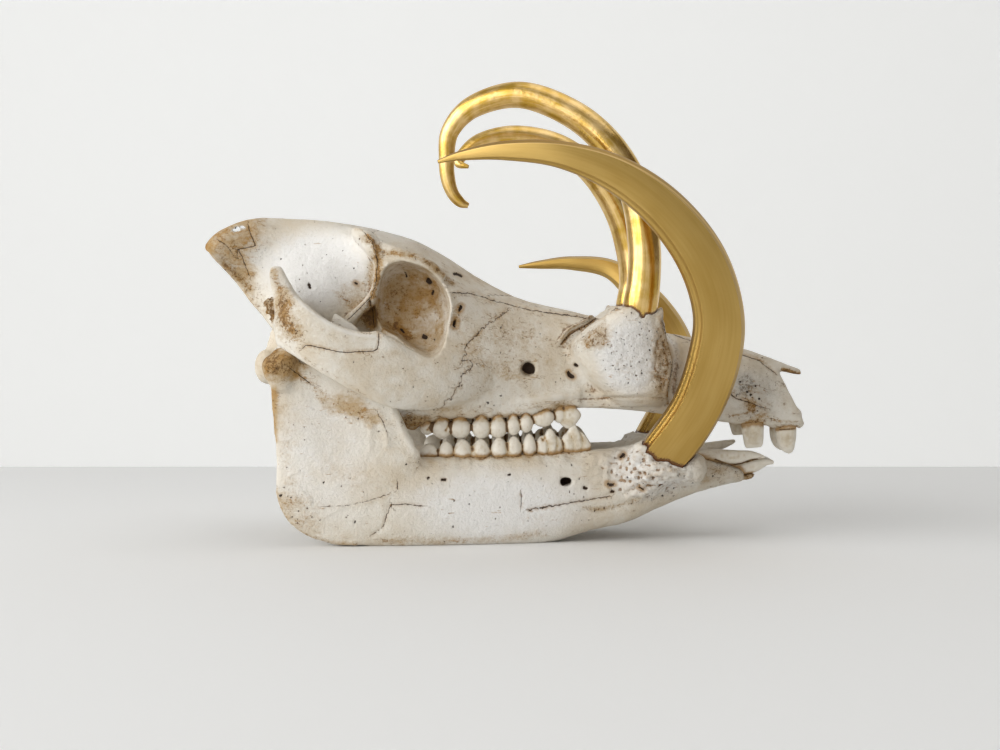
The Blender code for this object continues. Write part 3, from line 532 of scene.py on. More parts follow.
CRANIUM_SEAMS = {
    "seam of the cheek arch": Seam(
        [(-95.5, 97.5), (-93, 98.5), (-78.5, 95.5), (-69, 95.5), (-62, 96), (-60.4, 98), (-60, 101),
         (-60.2, 104)], waver=0.25, curved=True),
    "seam of the cheek": Seam(
        [(1, 115), (-2, 112), (-8, 108.5), (-12, 105), (-15.5, 101), (-19.5, 96.5), (-19, 93.5),
         (-20.5, 91), (-14.5, 89.5), (-17.5, 86.5), (-22, 83.5), (-20.5, 81), (-23.5, 76),
         (-26.5, 72.5), (-30, 69)], 0.8, 1.6),
    "seam under the nose bone": Seam(
        [(-25, 123.5), (-16.5, 123.2), (-6.5, 120), (1.5, 118), (12, 115), (22.5, 113.7), (42, 111)],
        0.5, 0.6),
    "patch on the crest": Seam([(-127, 157), (-125, 151.5), (-123, 146.6), (-131.7, 144.9)], 1, 0.35),
    "crack down from the patch": Seam(
        [(-131.7, 144.9), (-129.5, 141), (-128.5, 137), (-127, 132.4)], 0.55, 0.6),
    "crack in the crest": Seam([(-141, 149.5), (-137, 147), (-134, 142.5)], 0.4, 0.5),
    "crack behind the eye": Seam([(-66.2, 121.5), (-65, 107)], 1, 0.2),
    "crack to the cheek arch": Seam([(-66.5, 120.5), (-71.5, 115.5), (-77, 110.5)], 1, 0.2),
    "edge of the braincase": Seam(
        [(-68, 152), (-64.4, 148), (-62.4, 143), (-61.8, 137), (-62.8, 128), (-65.4, 121.5)], 0.7, 0.6),
    "edge of the flange": Seam(
        [(28.5, 98.5), (33, 103.3), (40.5, 107), (47.5, 111.8), (50.5, 114.5), (56, 116)], 0.9, 0.8,
        0.5),
    "front edge of the sheath": Seam(
        [(77.5, 110), (79.5, 104.5), (82, 98), (83.6, 91), (82.6, 83), (81, 74)], 0.7, 1, 0.5),
    "seam of the snout": Seam(SNOUT_SEAM, 0.6, 0.7),
    "seam of the nose": Seam([(84, 103), (100, 97.5), (115.5, 94), (128.5, 89.5), (136, 83.5)], 0.5, 0.3),
    "midline of the roof": Seam([(-55, 0), (-20, 0), (30, 0), (80, 0), (140, 0)], 0.5, 0.5, view="top"),
    "seam across the brow": Seam(
        [(-60, 38), (-66, 20), (-63, 0), (-66, -20), (-60, -38)], 0.5, 1.5, view="top"),
    "seam behind the nose bones": Seam(
        [(-8, 22), (0, 12), (6, 0), (0, -12), (-8, -22)], 0.5, 1.2, view="top"),
    "midline of the palate": Seam([(-28, 0), (40, 0), (90, 0), (140, 0)], 0.5, 0.5, view="below"),
    "seam across the palate": Seam(
        [(-12, 22), (-5, 10), (-3, 0), (-5, -10), (-12, -22)], 0.5, 1.0, view="below"),
}

# Grooves and stains on the teeth.
LOWER_TOOTH_MARKS = [
    Stroke([(-33.4, 46), (-33.2, 42)], 1.6, 0, stain=1.2),
    Stroke([(-38, 50), (-36, 49)], 3, 0, stain=0.9),
    Stroke([(17, 53), (18.6, 51)], 1.2, -0.6, stain=0.7),
    Stroke([(106.1, 39.4), (113.5, 36.8), (122, 38), (130.8, 40.7)], 0.9, -0.4, stain=1.4),
    Stroke([(128.5, 36), (133.5, 39.5)], 0.8, 0, stain=1.1),
    Stroke([(104, 45.5), (112, 46), (122, 43.5)], 0.7, 0, stain=0.7),
]
UPPER_TOOTH_MARKS = [
    Stroke([(-36.5, 60), (-34.8, 55)], 1.3, 0, stain=1.3),
    Stroke([(-26.6, 61), (-26.8, 55)], 1.2, 0, stain=1.3),
    Stroke([(-17, 61), (-16.6, 56)], 1, 0, stain=1.4),
    Stroke([(0.6, 61), (0.6, 56)], 0.8, 0, stain=1.3),
    Stroke([(13.4, 62), (13.6, 58)], 0.7, 0, stain=1.1),
    Stroke([(24.2, 66), (24.4, 62)], 0.8, 0, stain=1.1),
    Stroke([(-29, 56), (-26.8, 60)], 1.2, -0.5, stain=0.8),
    Stroke([(-38, 56), (-35.4, 60)], 1.6, -0.5, stain=0.8),
    Stroke([(130, 57), (133.5, 54), (140, 54.5), (147, 55)], 0.7, -0.2, stain=1),
]
CRANIUM_PATCHES = {
    "braincase": Patch((-93, 30, 136), (38, 34, 27), clean=0.8, grey=0.2, pores=0.12),
    # Painted shade: the low front of the braincase is darkened and warmed.
    "braincase, low at the front": Patch((-74, 28, 122), (16, 20, 12), stain=0.5, warm=0.3),
    "crest": Patch((-134, 24, 149), (30, 26, 22), warm=0.75, grey=0.8, stain=0.25),
    "back of the head, at its side": Patch((-120, 26, 122), (14, 18, 20), grey=0.3, stain=0.25),
    "torn edge behind the cheek arch": Patch(
        (-114, 43, 115), (7, 8, 13), stain=0.95, pores=1.5, rough=1.5, rough_size=1.7),
    "spur": Patch((-110, 48, 126), (8, 8, 14), stain=0.3, grey=0.3),
    # Partly stain, partly painted shade: the eye socket is darker at its top and lower back, with a painted
    # pool of light in its pale middle.
    "eye socket": Patch((-47, 26, 118), (29, 27, 29), stain=0.65, warm=1.15, pores=0.15),
    "eye socket, lower back": Patch((-55, 28, 107), (12, 24, 9), stain=0.7, warm=1),
    "eye socket, top": Patch((-47, 34, 134), (20, 12, 8), stain=0.5),
    "eye socket, pale middle": Patch((-41, 20, 110), (11, 20, 9), clean=0.4),
    "roof of the skull": Patch((-40, 0, 158), (70, 44, 24), grey=0.35, clean=0.4, pores=0.35),
    "nose bones": Patch((60, 0, 118), (90, 20, 18), grey=0.4, pores=0.2),
    "face": Patch((0, 34, 96), (42, 24, 30), stain=0.42, pores=0.1),
    "sheath": Patch((62, 40, 92), (25, 18, 27), clean=0.85, stain=0.1, pores=1.1, rough=0.35, rough_size=2),
    "sheath, under its flange": Patch(
        (43, 38, 102), (13, 14, 11), stain=0.75, pores=1.4, rough=0.4, rough_size=2),
    "sheath, ragged front": Patch(
        (77, 34, 90), (8, 14, 28), stain=0.75, pores=1.2, rough=1, rough_size=1.9),
    "sheath, ragged top": Patch(
        (64, 32, 114), (18, 13, 6), stain=0.4, pores=0.9, rough=0.8, rough_size=2.2),
    "snout": Patch((100, 18, 85), (26, 14, 18), stain=0.1, clean=0.4, warm=0.3),
    "end of the snout": Patch(
        (126, 14, 72), (19, 14, 20), grey=0.6, warm=0.4, stain=0.35, pores=0.8, rough=0.25,
        rough_size=2.2),
    "speckled side of the snout": Patch((121, 14, 77), (9, 8, 10), grey=1, pores=1),
    "stain on the snout": Patch((123.5, 14, 67), (6, 8, 8), stain=0.9),
    # Partly stain, partly painted shade inside the nose.
    "inside of the nose": Patch((148, 0, 74), (26, 9, 12), stain=0.9),
    # Painted shade, partly stain: the recessed bone behind the eye socket is darkened.
    "behind the eye socket": Patch((-67, 28, 112), (8, 14, 11), stain=1.2, pores=0.6),
    "root of the cheek arch": Patch(
        (-114, 40, 104), (7, 14, 12), stain=0.6, pores=0.6, rough=0.5, rough_size=2.4),
    "back of the skull": Patch((-138, 0, 120), (22, 40, 40), stain=0.45, pores=0.2),
    # Partly stain, partly painted shade under the skull.
    "base of the skull": Patch((-90, 0, 72), (60, 30, 16), stain=0.5, pores=0.3, rough=0.3, rough_size=3),
    "rear end of the upper gum": Patch(
        (-45, 28, 61), (15, 10, 8), stain=1.2, warm=1.2, pores=1, rough=0.5, rough_size=2.4),
    # Partly stain, partly painted shade on the palate.
    "palate": Patch((20, 0, 64), (110, 26, 10), stain=0.4, pores=0.3),
}
JAW_STROKES = {
    "stain down the jaw's branch": Stroke(
        [(-94.5, 80.5), (-86, 70), (-77.5, 69), (-64.5, 63)], 7, -0.5, stain=0.6, warm=0.9, pores=0.2),
    "brown top of the condyle": Stroke(
        [(-118, 92), (-109, 91), (-102.5, 88)], 9, 0, stain=0.8, warm=1.3, pores=0.3),
    "tan strip at the back": Stroke([(-111.5, 77), (-112.5, 65.5), (-112, 52)], 2.4, 0, stain=0.6, warm=1),
    "hollow of the jaw's branch": Stroke([(-90, 78), (-82, 64), (-80, 52)], 13, -1.1),
    "ridge of the branch": Stroke([(-61.5, 65), (-59, 61), (-57.5, 56.5), (-57, 50)], 1.3, 0.5),
    "second ridge of the branch": Stroke([(-64.5, 60), (-65, 54), (-65.5, 48.5)], 1.2, 0.4),
    "front edge of the branch": Stroke(
        [(-56, 70), (-52.5, 63), (-48.5, 54), (-44, 47), (-37.5, 42.5)], 1.7, 0.8),
    "angle, upper arc": Stroke([(-105, 34), (-103, 36), (-99.5, 37)], 0.8, 0.4, stain=0.35),
    "angle, lower arc": Stroke([(-107, 31), (-101.5, 30), (-96, 25), (-94, 21.5)], 0.9, 0.5, stain=0.4),
    "line along the jaw": Stroke([(-84.5, 30.5), (-77.5, 31), (-69.5, 31)], 0.8, 0.3, stain=0.2),
    "second line": Stroke(SECOND_JAW_LINE, 0.8, 0.35, stain=0.3),
    "third line": Stroke([(-91.5, 13), (-85, 16.5), (-78.5, 20)], 0.8, 0.35, stain=0.35),
    "fourth line": Stroke(
        [(-55.5, 20.5), (-57, 20.5), (-58, 14), (-59, 10), (-64.5, 6)], 0.7, -0.2, stain=0.1),
    "fifth line": Stroke(FIFTH_JAW_LINE, 0.7, -0.2, stain=0.25),
    "lower rim": Stroke(
        [(-111, 27), (-109, 20), (-104, 12.5), (-96.5, 6.5), (-86, 3), (-73, 1.5)], 1.4, 0.6,
        stain=0.6, pores=0.4),
    "stain along the lower edge": Stroke(
        [(-60, 3), (-30, 2), (0, 3), (20, 5)], 3, 0, stain=0.55, pores=0.3),
    "body line": Stroke(JAW_BODY_LINE, 0.9, -0.3, stain=0.25, pores=0.5),
    "porous line to the chin": Stroke(
        [(39, 17.5), (47, 16.5), (56.5, 18.5), (66.5, 21.5)], 1.8, -0.2, stain=0.6, pores=1),
    # A faint painted shade in the recess under the teeth.
    "recess under the teeth": Stroke(
        [(-46, 39.5), (-20, 39), (10, 40), (40, 42)], 1.8, -0.4, stain=0.05, pores=0.05),
    "edge behind the socket": Stroke(
        [(66, 46), (70, 42), (76, 38), (83, 37), (90, 40)], 1.6, 0.3, stain=0.55, pores=1),
}
JAW_HOLES = {
    "large nerve hole": Hole([(28.8, 30.2), (31, 30.8)], 1.5, 0.3, 0.4),
    "nerve hole ahead of the large one": Hole([(39.2, 27.4), (40, 27)], 0.8, 1.1, 0.5),
    "nerve hole under the swelling": Hole([(52.6, 25.4), (53.6, 25.2)], 0.7, 1, 0.8),
    "hole behind the teeth": Hole([(-37.4, 33.5)], 0.55, 0.8, 0.4),
    "slot beside it": Hole([(-30.6, 32.6), (-28.8, 32.5)], 0.5, 0.8, 0.8),
    "hole under the teeth": Hole([(1.6, 34.4), (2.4, 34.5)], 0.4, 0.6, 0.4),
    "cavity in the swelling": Hole([(57.4, 42.2), (59, 43.4)], 0.45, 1.1, 1.6),
    "cavity low in the swelling": Hole([(50.6, 29.4), (52, 28.4), (53.6, 28.8)], 0.35, 0.8, 2),
    "cavity by the socket": Hole([(66, 27.6), (67.8, 26.6)], 0.35, 0.9, 1.6),
}
JAW_PITS = [
    (-109, 25, 0.5), (-107.4, 26.8, 0.35), (-105.6, 24.6, 0.4), (-104.6, 26.6, 0.3),
    (-103.8, 24.2, 0.35), (-88, 31.6, 0.5), (-84.4, 34, 0.3), (-75.6, 33.4, 0.3), (-99.6, 37.5, 0.4),
    (-79.4, 29.8, 0.3), (-100.4, 17.5, 0.3), (-72.8, 12.4, 0.5), (-35.5, 30.5, 0.25),
    (-26.6, 29.6, 0.25), (27.4, 38.4, 0.3), (20.6, 38.4, 0.25), (36.6, 31.8, 0.25), (43.6, 33.4, 0.3),
    (33, 38.6, 0.25), (35, 27, 0.25), (46, 29.4, 0.3), (60, 32.6, 0.4), (50.8, 35, 0.3),
    (-48, 40.4, 0.3), (12.4, 19.4, 0.35), (24.6, 27.6, 0.2), (18, 32.5, 0.2), (-2, 26, 0.2),
    (-17.6, 20.6, 0.25), (-33.6, 8.6, 0.3), (-25.4, 9.6, 0.3), (84, 26.4, 0.35), (92.4, 30, 0.35),
    (98.6, 27.8, 0.3), (78.6, 22.6, 0.3), (104.4, 31.6, 0.35),
]
JAW_SEAMS = {
    "crack of the branch": Seam([(-103, 87), (-98.5, 83), (-94.5, 80)], 0.8, 0.4),
    "crack in the body": Seam([(8, 25), (8, 19)], 0.8, 0.3),
    "ridge crack": Seam([(-61.5, 65), (-59, 61), (-57.5, 56.5)], 0.4, 0.3),
    "line crack": Seam(SECOND_JAW_LINE, 0.35, 0.5),
    "lower line crack": Seam([(-55.5, 20.5), (-58, 14), (-59, 10), (-64.5, 6)], 0.35, 0.5),
    "line along the body": Seam(JAW_BODY_LINE, 0.6, 0.9),
    "fifth line crack": Seam(FIFTH_JAW_LINE, 0.5, 0.3),
    "seam of the chin": Seam([(60, 0), (90, 0), (122, 0)], 0.5, 0.5, view="below"),
}
JAW_PATCHES = {
    "branch": Patch((-90, 48, 45), (40, 14, 50), clean=0.4, stain=0.2, pores=0.06),
    "condyle": Patch(
        (-110, 50, 90), (13, 16, 12), stain=0.95, warm=1.2, pores=0.8, rough=0.9, rough_size=4.5),
    # Partly cleaner bone, partly painted light that lifts the shade on the jaw's lower side.
    "body": Patch((-10, 34, 19), (68, 24, 26), clean=0.75, stain=0.15, pores=0.12),
    "swelling round the tusk": Patch(
        (72, 28, 36), (32, 24, 19), stain=0.5, clean=0.7, pores=0.85, rough=1.9, rough_size=2.2),
    "coarse swelling round the tusk": Patch((70, 30, 40), (18, 18, 13), rough=1.1, rough_size=5),
    # The chin's brown and warmth are partly stain, partly painted shade.
    "chin": Patch((105, 8, 32), (28, 14, 14), stain=0.35, warm=0.35, pores=0.8, rough=0.25, rough_size=1.8),
    "crumb at the front": Patch((124, 4, 30), (6, 6, 4), stain=1, warm=1),
    "angle of the jaw": Patch((-101, 44, 16), (20, 12, 20), stain=0.5, pores=0.6),
    # Partly stain and warmth, partly painted shade on the inner side of the jaw.
    "inside of the jaw": Patch((-20, 18, 24), (80, 14, 24), stain=0.5, warm=0.8),
}
# Where the seams between shells are smoothed most, and in how many rounds.
CRANIUM_BLENDS = [(Patch((34, 22, 96), (20, 16, 22)), 50)]
JAW_BLENDS = [(Patch((82, 28, 41), (36, 26, 24)), 60), (Patch((-40, 40, 42), (14, 16, 12)), 40)]

# A lower tusk's section, corner by corner: first along its curl, then across towards the animal's left.
# Its flat outer face is wide at the root, and narrows towards the tip as the face in front of it grows.
LOWER_TUSK_ROOT = [
    (0.84, -0.84), (0.93, -0.7), (1, 0.05), (0.72, 0.75), (0.05, 1), (-0.72, 0.78), (-1, 0.12),
    (-0.99, -0.38), (-0.93, -0.6), (-0.8, -0.58), (-0.72, -0.68), (-0.68, -0.84), (-0.6, -0.89),
    (0.1, -0.92),
]
LOWER_TUSK_TIP = [
    (0.5, -0.88), (0.62, -0.78), (1, 0.05), (0.78, 0.72), (0.05, 1), (-0.72, 0.78), (-1, 0.12),
    (-0.99, -0.38), (-0.95, -0.52), (-0.9, -0.6), (-0.84, -0.68), (-0.76, -0.78), (-0.68, -0.86),
    (-0.1, -0.93),
]


def smooth_through(points, count, closed=False):
    """Points along the smooth curve through the given ones, which may have any number of values each."""
    given = np.asarray(points, float)
    if closed:
        padded = np.vstack([given[-1], given, given[0], given[1]])
        spans = len(given)
        steps = np.arange(count) * spans / count
    else:
        padded = np.vstack([2 * given[0] - given[1], given, 2 * given[-1] - given[-2]])
        spans = len(given) - 1
        steps = np.linspace(0, spans, count)
    span = np.minimum(steps.astype(int), spans - 1)
    share = (steps - span)[:, None]
    a, b, c, d = (padded[span + offset] for offset in range(4))
    curve = 2 * b + (c - a) * share
    curve += (2 * a - 5 * b + 4 * c - d) * share**2
    curve += (3 * b - a - 3 * c + d) * share**3
    return curve / 2


def loft(rings):
    """A closed skin over rings of points that all have as many points."""
    mesh = bmesh.new()
    ring = bmesh.ops.create_circle(mesh, segments=len(rings[0]), radius=1)["verts"]
    edges = list(mesh.edges)
    ends = [list(ring)]
    for number, places in enumerate(rings):
        if number:
            grown = bmesh.ops.extrude_edge_only(mesh, edges=edges)["geom"]
            new = {part for part in grown if isinstance(part, bmesh.types.BMVert)}
            edges = [part for part in grown if isinstance(part, bmesh.types.BMEdge)]
            ring = [next(e.other_vert(v) for e in v.link_edges if e.other_vert(v) in new) for v in ring]
        for vert, place in zip(ring, places):
            vert.co = Vector(place)
    ends.append(ring)
    for end in ends:
        bmesh.ops.contextual_create(mesh, geom=end)
    bmesh.ops.recalc_face_normals(mesh, faces=mesh.faces)
    return mesh


def skull_ring(values):
    """The full cross-section at one row of slice values."""
    x_roof, x_floor, roof = values[:3]
    floor = values[-1]
    corners = values[3:-1].reshape(-1, 2)
    half = [(0, roof), *corners, (0, floor)]
    whole = half + [(-y, z) for y, z in half[-2:0:-1]]
    ring = smooth_through(whole, RING_POINTS, closed=True)
    share = (roof - ring[:, 1]) / (roof - floor)
    return np.column_stack([x_roof + (x_floor - x_roof) * share, ring])


def skull_core():
    """Braincase, face and snout as one solid."""
    rows = [np.hstack([np.ravel(value) for value in one]) for one in CRANIUM]
    rows = smooth_through(rows, (len(rows) - 1) * 5 + 1)
    return loft([skull_ring(row) for row in rows])


def oval(count, squareness):
    """A unit oval: 1 is an ellipse, and less is squarer."""
    turn = np.linspace(0, 2 * math.pi, count, endpoint=False)
    cos, sin = np.cos(turn), np.sin(turn)
    return (np.sign(cos) * abs(cos) ** squareness, np.sign(sin) * abs(sin) ** squareness)


def bar_loft(bars, side, squareness=0.75, steps=6):
    """A rail whose slices stand upright, across its own run in plan."""
    path = smooth_through(bars, (len(bars) - 1) * steps + 1)
    run = np.gradient(path[:, :2], axis=0)
    run /= np.linalg.norm(run, axis=1)[:, None]
    thick, high = oval(BAR_POINTS, squareness)
    rings = []
    for (x, y, z, half_height, half_thick), (run_x, run_y) in zip(path, run):
        offset = thick * half_thick
        rings.append(np.column_stack([
            x - run_y * offset,
            side * (y + run_x * offset),
            z + high * half_height,
        ]))
    return loft(rings)


def level_bar(bars):
    """A bar in the middle plane: its middle, half height and half breadth."""
    rings = []
    path = smooth_through(bars, (len(bars) - 1) * 6 + 1)
    along, across = oval(BAR_POINTS, 0.8)
    for x, y, z, half_height, half_breadth in path:
        rings.append(np.column_stack([
            np.full(BAR_POINTS, x), y + across * half_breadth, z + along * half_height]))
    return loft(rings)


def level_loft(levels, side, squareness=0.8, steps=5):
    """An upright plate whose slices are level."""
    rows = smooth_through(levels, (len(levels) - 1) * steps + 1)
    along, thick = oval(BAR_POINTS, squareness)
    rings = []
    for z, back, front, y, half_thick in rows:
        rings.append(np.column_stack([
            (back + front) / 2 + along * (front - back) / 2,
            side * (y + thick * half_thick),
            np.full(BAR_POINTS, z),
        ]))
    return loft(rings)


def limb_loft(limbs, sections, steps=6, grow=0):
    """A horn along a curve in space, whose section changes from the first one given to the last."""
    path = smooth_through(limbs, (len(limbs) - 1) * steps + 1)
    run = np.gradient(path[:, :3], axis=0)
    first, last = np.array(sections[0]), np.array(sections[-1])
    rings = []
    for number, ((x, y, z, along, across), way) in enumerate(zip(path, run)):
        share = number / (len(path) - 1)
        section = first + (last - first) * share
        way = Vector(way).normalized()
        beside = Vector((0, 1, 0))
        beside = (beside - way * beside.dot(way)).normalized()
        outward = beside.cross(way)
        rings.append([
            Vector((x, y, z)) + outward * (u * (along + grow)) + beside * (v * (across + grow))
            for u, v in section
        ])
    return loft(rings)


def egg(lump, side=1):
    """The egg-shaped solid of a lump, on the given side."""
    mesh = bmesh.new()
    bmesh.ops.create_uvsphere(mesh, u_segments=48, v_segments=32, radius=1)
    turned = Matrix.Identity(4)
    for axis, degrees in zip("XYZ", lump.turn):
        turned = Matrix.Rotation(math.radians(degrees), 4, axis) @ turned
    x, y, z = lump.centre
    placed = Matrix.Translation((x, side * y, z)) @ turned @ Matrix.Diagonal((*lump.radii, 1))
    bmesh.ops.transform(mesh, matrix=placed, verts=mesh.verts)
    return mesh


def ridge_loft(ridge, side):
    """A rounded ridge of bone on the given side."""
    limbs = [(x, side * y, z, along, across) for x, y, z, along, across in ridge]
    return limb_loft(limbs, [np.column_stack(oval(20, 1))])


def to_object(name, shells):
    """One object from shells in millimetres."""
    whole = bmesh.new()
    for shell in shells:
        piece = bpy.data.meshes.new("piece")
        shell.to_mesh(piece)
        whole.from_mesh(piece)
        shell.free()
        bpy.data.meshes.remove(piece)
    bmesh.ops.scale(whole, vec=(MM, MM, MM), verts=whole.verts)
    mesh = bpy.data.meshes.new(name)
    whole.to_mesh(mesh)
    whole.free()
    made = bpy.data.objects.new(name, mesh)
    bpy.context.scene.collection.objects.link(made)
    return made


def settle(made):
    """Applies the object's modifiers."""
    bpy.context.view_layer.update()
    graph = bpy.context.evaluated_depsgraph_get()
    mesh = bpy.data.meshes.new_from_object(made.evaluated_get(graph))
    made.modifiers.clear()
    made.data = mesh


def cut_away(made, shells):
    """Cuts the shells, in millimetres, out of the object."""
    cutters = bpy.data.collections.new("cutters")
    bpy.context.scene.collection.children.link(cutters)
    for number, shell in enumerate(shells):
        cutter = to_object(f"cutter {number}", [shell])
        bpy.context.scene.collection.objects.unlink(cutter)
        cutters.objects.link(cutter)
    cut = made.modifiers.new("cut", "BOOLEAN")
    cut.operation = "DIFFERENCE"
    cut.operand_type = "COLLECTION"
    cut.collection = cutters
    cut.solver = "MANIFOLD"
    settle(made)
    for cutter in list(cutters.objects):
        bpy.data.objects.remove(cutter)
    bpy.data.collections.remove(cutters)


def remesh(made, voxel, rounds):
    """Fuses overlapping shells into one skin and softens its seams."""
    fused = made.modifiers.new("fuse", "REMESH")
    fused.mode = "VOXEL"
    fused.voxel_size = voxel * MM
    soft = made.modifiers.new("soften", "SMOOTH")
    soft.factor = 0.5
    soft.iterations = rounds
    settle(made)


def thin_out(made):
    """Takes triangles out until the piece is within its limit."""
    made.data.calc_loop_triangles()
    count = len(made.data.loop_triangles)
    if count > MOST_TRIANGLES:
        fewer = made.modifiers.new("thin out", "DECIMATE")
        fewer.ratio = MOST_TRIANGLES / count
        settle(made)


HASH_PRIMES = (73856093, 19349663, 83492791)


def lumps(points, size, seed):
    """Smooth random heights from -1 to 1 at the points, with bumps of about the given size."""
    grid = points / size + seed * 13.7
    cell = np.floor(grid).astype(np.int64)
    share = grid - cell
    share = share * share * (3 - 2 * share)
    total = np.zeros(len(points))
    for corner in itertools.product((0, 1), repeat=3):
        key = ((cell + corner) * HASH_PRIMES).sum(axis=1)
        key = (key ^ (key >> 13)) * 1274126177 & 0x7FFFFFFF
        height = (key ^ (key >> 16)) % 65536 / 32767.5 - 1
        total += height * np.prod(np.where(corner, share, 1 - share), axis=1)
    return total


def gap_to(points, path):
    """How far each flat point is from a path, and on which side of it."""
    nearest = np.full(len(points), 1e9)
    signed = np.full(len(points), 1e9)
    path = np.asarray(path, float)
    if len(path) == 1:
        gaps = np.linalg.norm(points - path[0], axis=1)
        return gaps, gaps
    for start, end in zip(path[:-1], path[1:]):
        run = end - start
        share = np.clip(((points - start) @ run) / (run @ run), 0, 1)
        off = points - start - share[:, None] * run
        gaps = np.linalg.norm(off, axis=1)
        closer = gaps < nearest
        nearest[closer] = gaps[closer]
        turn = np.sign(run[0] * off[:, 1] - run[1] * off[:, 0])
        signed[closer] = (gaps * turn)[closer]
    return nearest, signed


def points_of(made):
    """The points of an object's skin in millimetres."""
    flat = np.empty(len(made.data.vertices) * 3, np.float32)
    made.data.vertices.foreach_get("co", flat)
    return flat.reshape(-1, 3).astype(float) / MM


def keep_values(made, name, values):
    """Keeps a value, or a place in space, for each of an object's points."""
    values = np.asarray(values, np.float32)
    kind, field = ("FLOAT", "value") if values.ndim == 1 else ("FLOAT_VECTOR", "vector")
    layer = made.data.attributes.new(name, kind, "POINT")
    layer.data.foreach_set(field, values.ravel())


# The two axes that each view shows.
VIEW_AXES = {"side": (0, 2), "top": (0, 1), "below": (0, 1)}


class Bone:
    """The points of a bone's skin in millimetres, to be carved and stained."""

    def __init__(self, made):
        self.made = made
        self.marks = {}
        self.points = points_of(made)
        ends = np.empty(len(made.data.edges) * 2, np.int32)
        made.data.edges.foreach_get("vertices", ends)
        self.ends = ends.reshape(-1, 2).T
        self.seen = {}
        self.read_normals()

    def read_normals(self):
        flat = np.empty(len(self.points) * 3, np.float32)
        self.made.data.vertex_normals.foreach_get("vector", flat)
        self.normals = flat.reshape(-1, 3).astype(float)

    def write(self):
        self.made.data.vertices.foreach_set("co", (self.points * MM).astype(np.float32).ravel())
        self.made.data.update()
        self.read_normals()

    def mark(self, name, start=0.0):
        """The bone's own values of one kind, such as stain, one for each point."""
        if name not in self.marks:
            self.marks[name] = np.full(len(self.points), start)
        return self.marks[name]

    def write_marks(self):
        for name, values in self.marks.items():
            keep_values(self.made, name, values)

    def neighbour_mean(self, places):
        """The mean of each point's neighbours."""
        one, other = self.ends
        count = len(places)
        shared = np.bincount(one, minlength=count) + np.bincount(other, minlength=count)
        mean = np.empty_like(places)
        for axis in range(3):
            mean[:, axis] = np.bincount(one, places[other, axis], count)
            mean[:, axis] += np.bincount(other, places[one, axis], count)
        return mean / shared[:, None]

    def soften(self, share, rounds):
        """Smooths the skin where share says."""
        for _ in range(rounds):
            pull = self.neighbour_mean(self.points) - self.points
            self.points += pull * (share * 0.5)[:, None]

    def hollowness(self, rounds):
        """How far each point lies below its softened surroundings."""
        soft = self.points.copy()
        for _ in range(rounds):
            soft += (self.neighbour_mean(soft) - soft) * 0.5
        return ((soft - self.points) * self.normals).sum(axis=1)

    def open_to(self, view):
        """How openly each point is seen from that side, from 0 to 1."""
        if view not in self.seen:
            ways = np.zeros_like(self.points)
            if view == "side":
                ways[:, 1] = np.where(self.points[:, 1] < 0, -1, 1)
            else:
                ways[:, 2] = 1 if view == "top" else -1
            facing = np.clip(2.5 * (self.normals * ways).sum(axis=1), 0, 1)
            tree = BVHTree.FromObject(self.made, bpy.context.evaluated_depsgraph_get())
            starts = (self.points + self.normals * 0.4) * MM
            for number in np.flatnonzero(facing):
                if tree.ray_cast(Vector(starts[number]), Vector(ways[number]))[0] is not None:
                    facing[number] = 0
            self.seen[view] = facing
        return self.seen[view]

    def near(self, view, path, reach, curved=True):
        """The points within reach of a path, their gaps to it and how openly they are seen."""
        flat = self.points[:, VIEW_AXES[view]]
        path = np.asarray(path, float)
        inside = ((flat > path.min(axis=0) - reach) & (flat < path.max(axis=0) + reach)).all(axis=1)
        chosen = np.flatnonzero(inside & (self.open_to(view) > 0))
        curve = smooth_through(path, len(path) * 4) if curved and len(path) > 1 else path
        gaps, signed = gap_to(flat[chosen], curve)
        return chosen, gaps, signed, self.open_to(view)[chosen]

    def leave(self, chosen, share, made):
        """Leaves the marks of a stroke or patch."""
        for name in MARKS:
            value = getattr(made, name, 0)
            if value:
                kept = self.mark(name)
                kept[chosen] = np.maximum(kept[chosen], value * share)

    def carve(self, stroke):
        chosen, gaps, _, seen = self.near(stroke.view, stroke.path, stroke.half_width * 2.5)
        share = np.exp(-((gaps / stroke.half_width) ** stroke.edge)) * seen
        self.points[chosen] += self.normals[chosen] * (stroke.height * share)[:, None]
        self.leave(chosen, share, stroke)

    def bore(self, hole):
        """Sinks a hole, and keeps how far each point is from its edge for the material to draw it."""
        kept = self.mark("hole", FAR)
        chosen, gaps, _, seen = self.near("side", hole.path, 5)
        share = np.clip(1.5 - gaps / hole.half_width, 0, 1) * seen
        self.points[chosen] -= self.normals[chosen] * (hole.depth * share)[:, None]
        gaps -= hole.half_width
        closer = (gaps < kept[chosen]) & (seen > 0.05)
        kept[chosen[closer]] = gaps[closer]
        self.mark("hole_halo")[chosen[closer]] = hole.halo

    def crack(self, seam):
        """Sinks a seam a little, and keeps how far each point is from it for the material to draw it."""
        kept = self.mark("seam", FAR)
        chosen, gaps, signed, seen = self.near(seam.view, seam.path, 6, seam.curved)
        share = np.exp(-((gaps / 0.8) ** 2)) * seen
        self.points[chosen] -= self.normals[chosen] * (seam.depth * share)[:, None]
        closer = (gaps < abs(kept[chosen])) & (seen > 0.05)
        chosen = chosen[closer]
        kept[chosen] = signed[closer]
        self.mark("seam_dark")[chosen] = seam.dark * np.clip(2.4 - gaps[closer] / 1.6, 0, 1)
        self.mark("seam_waver")[chosen] = seam.waver

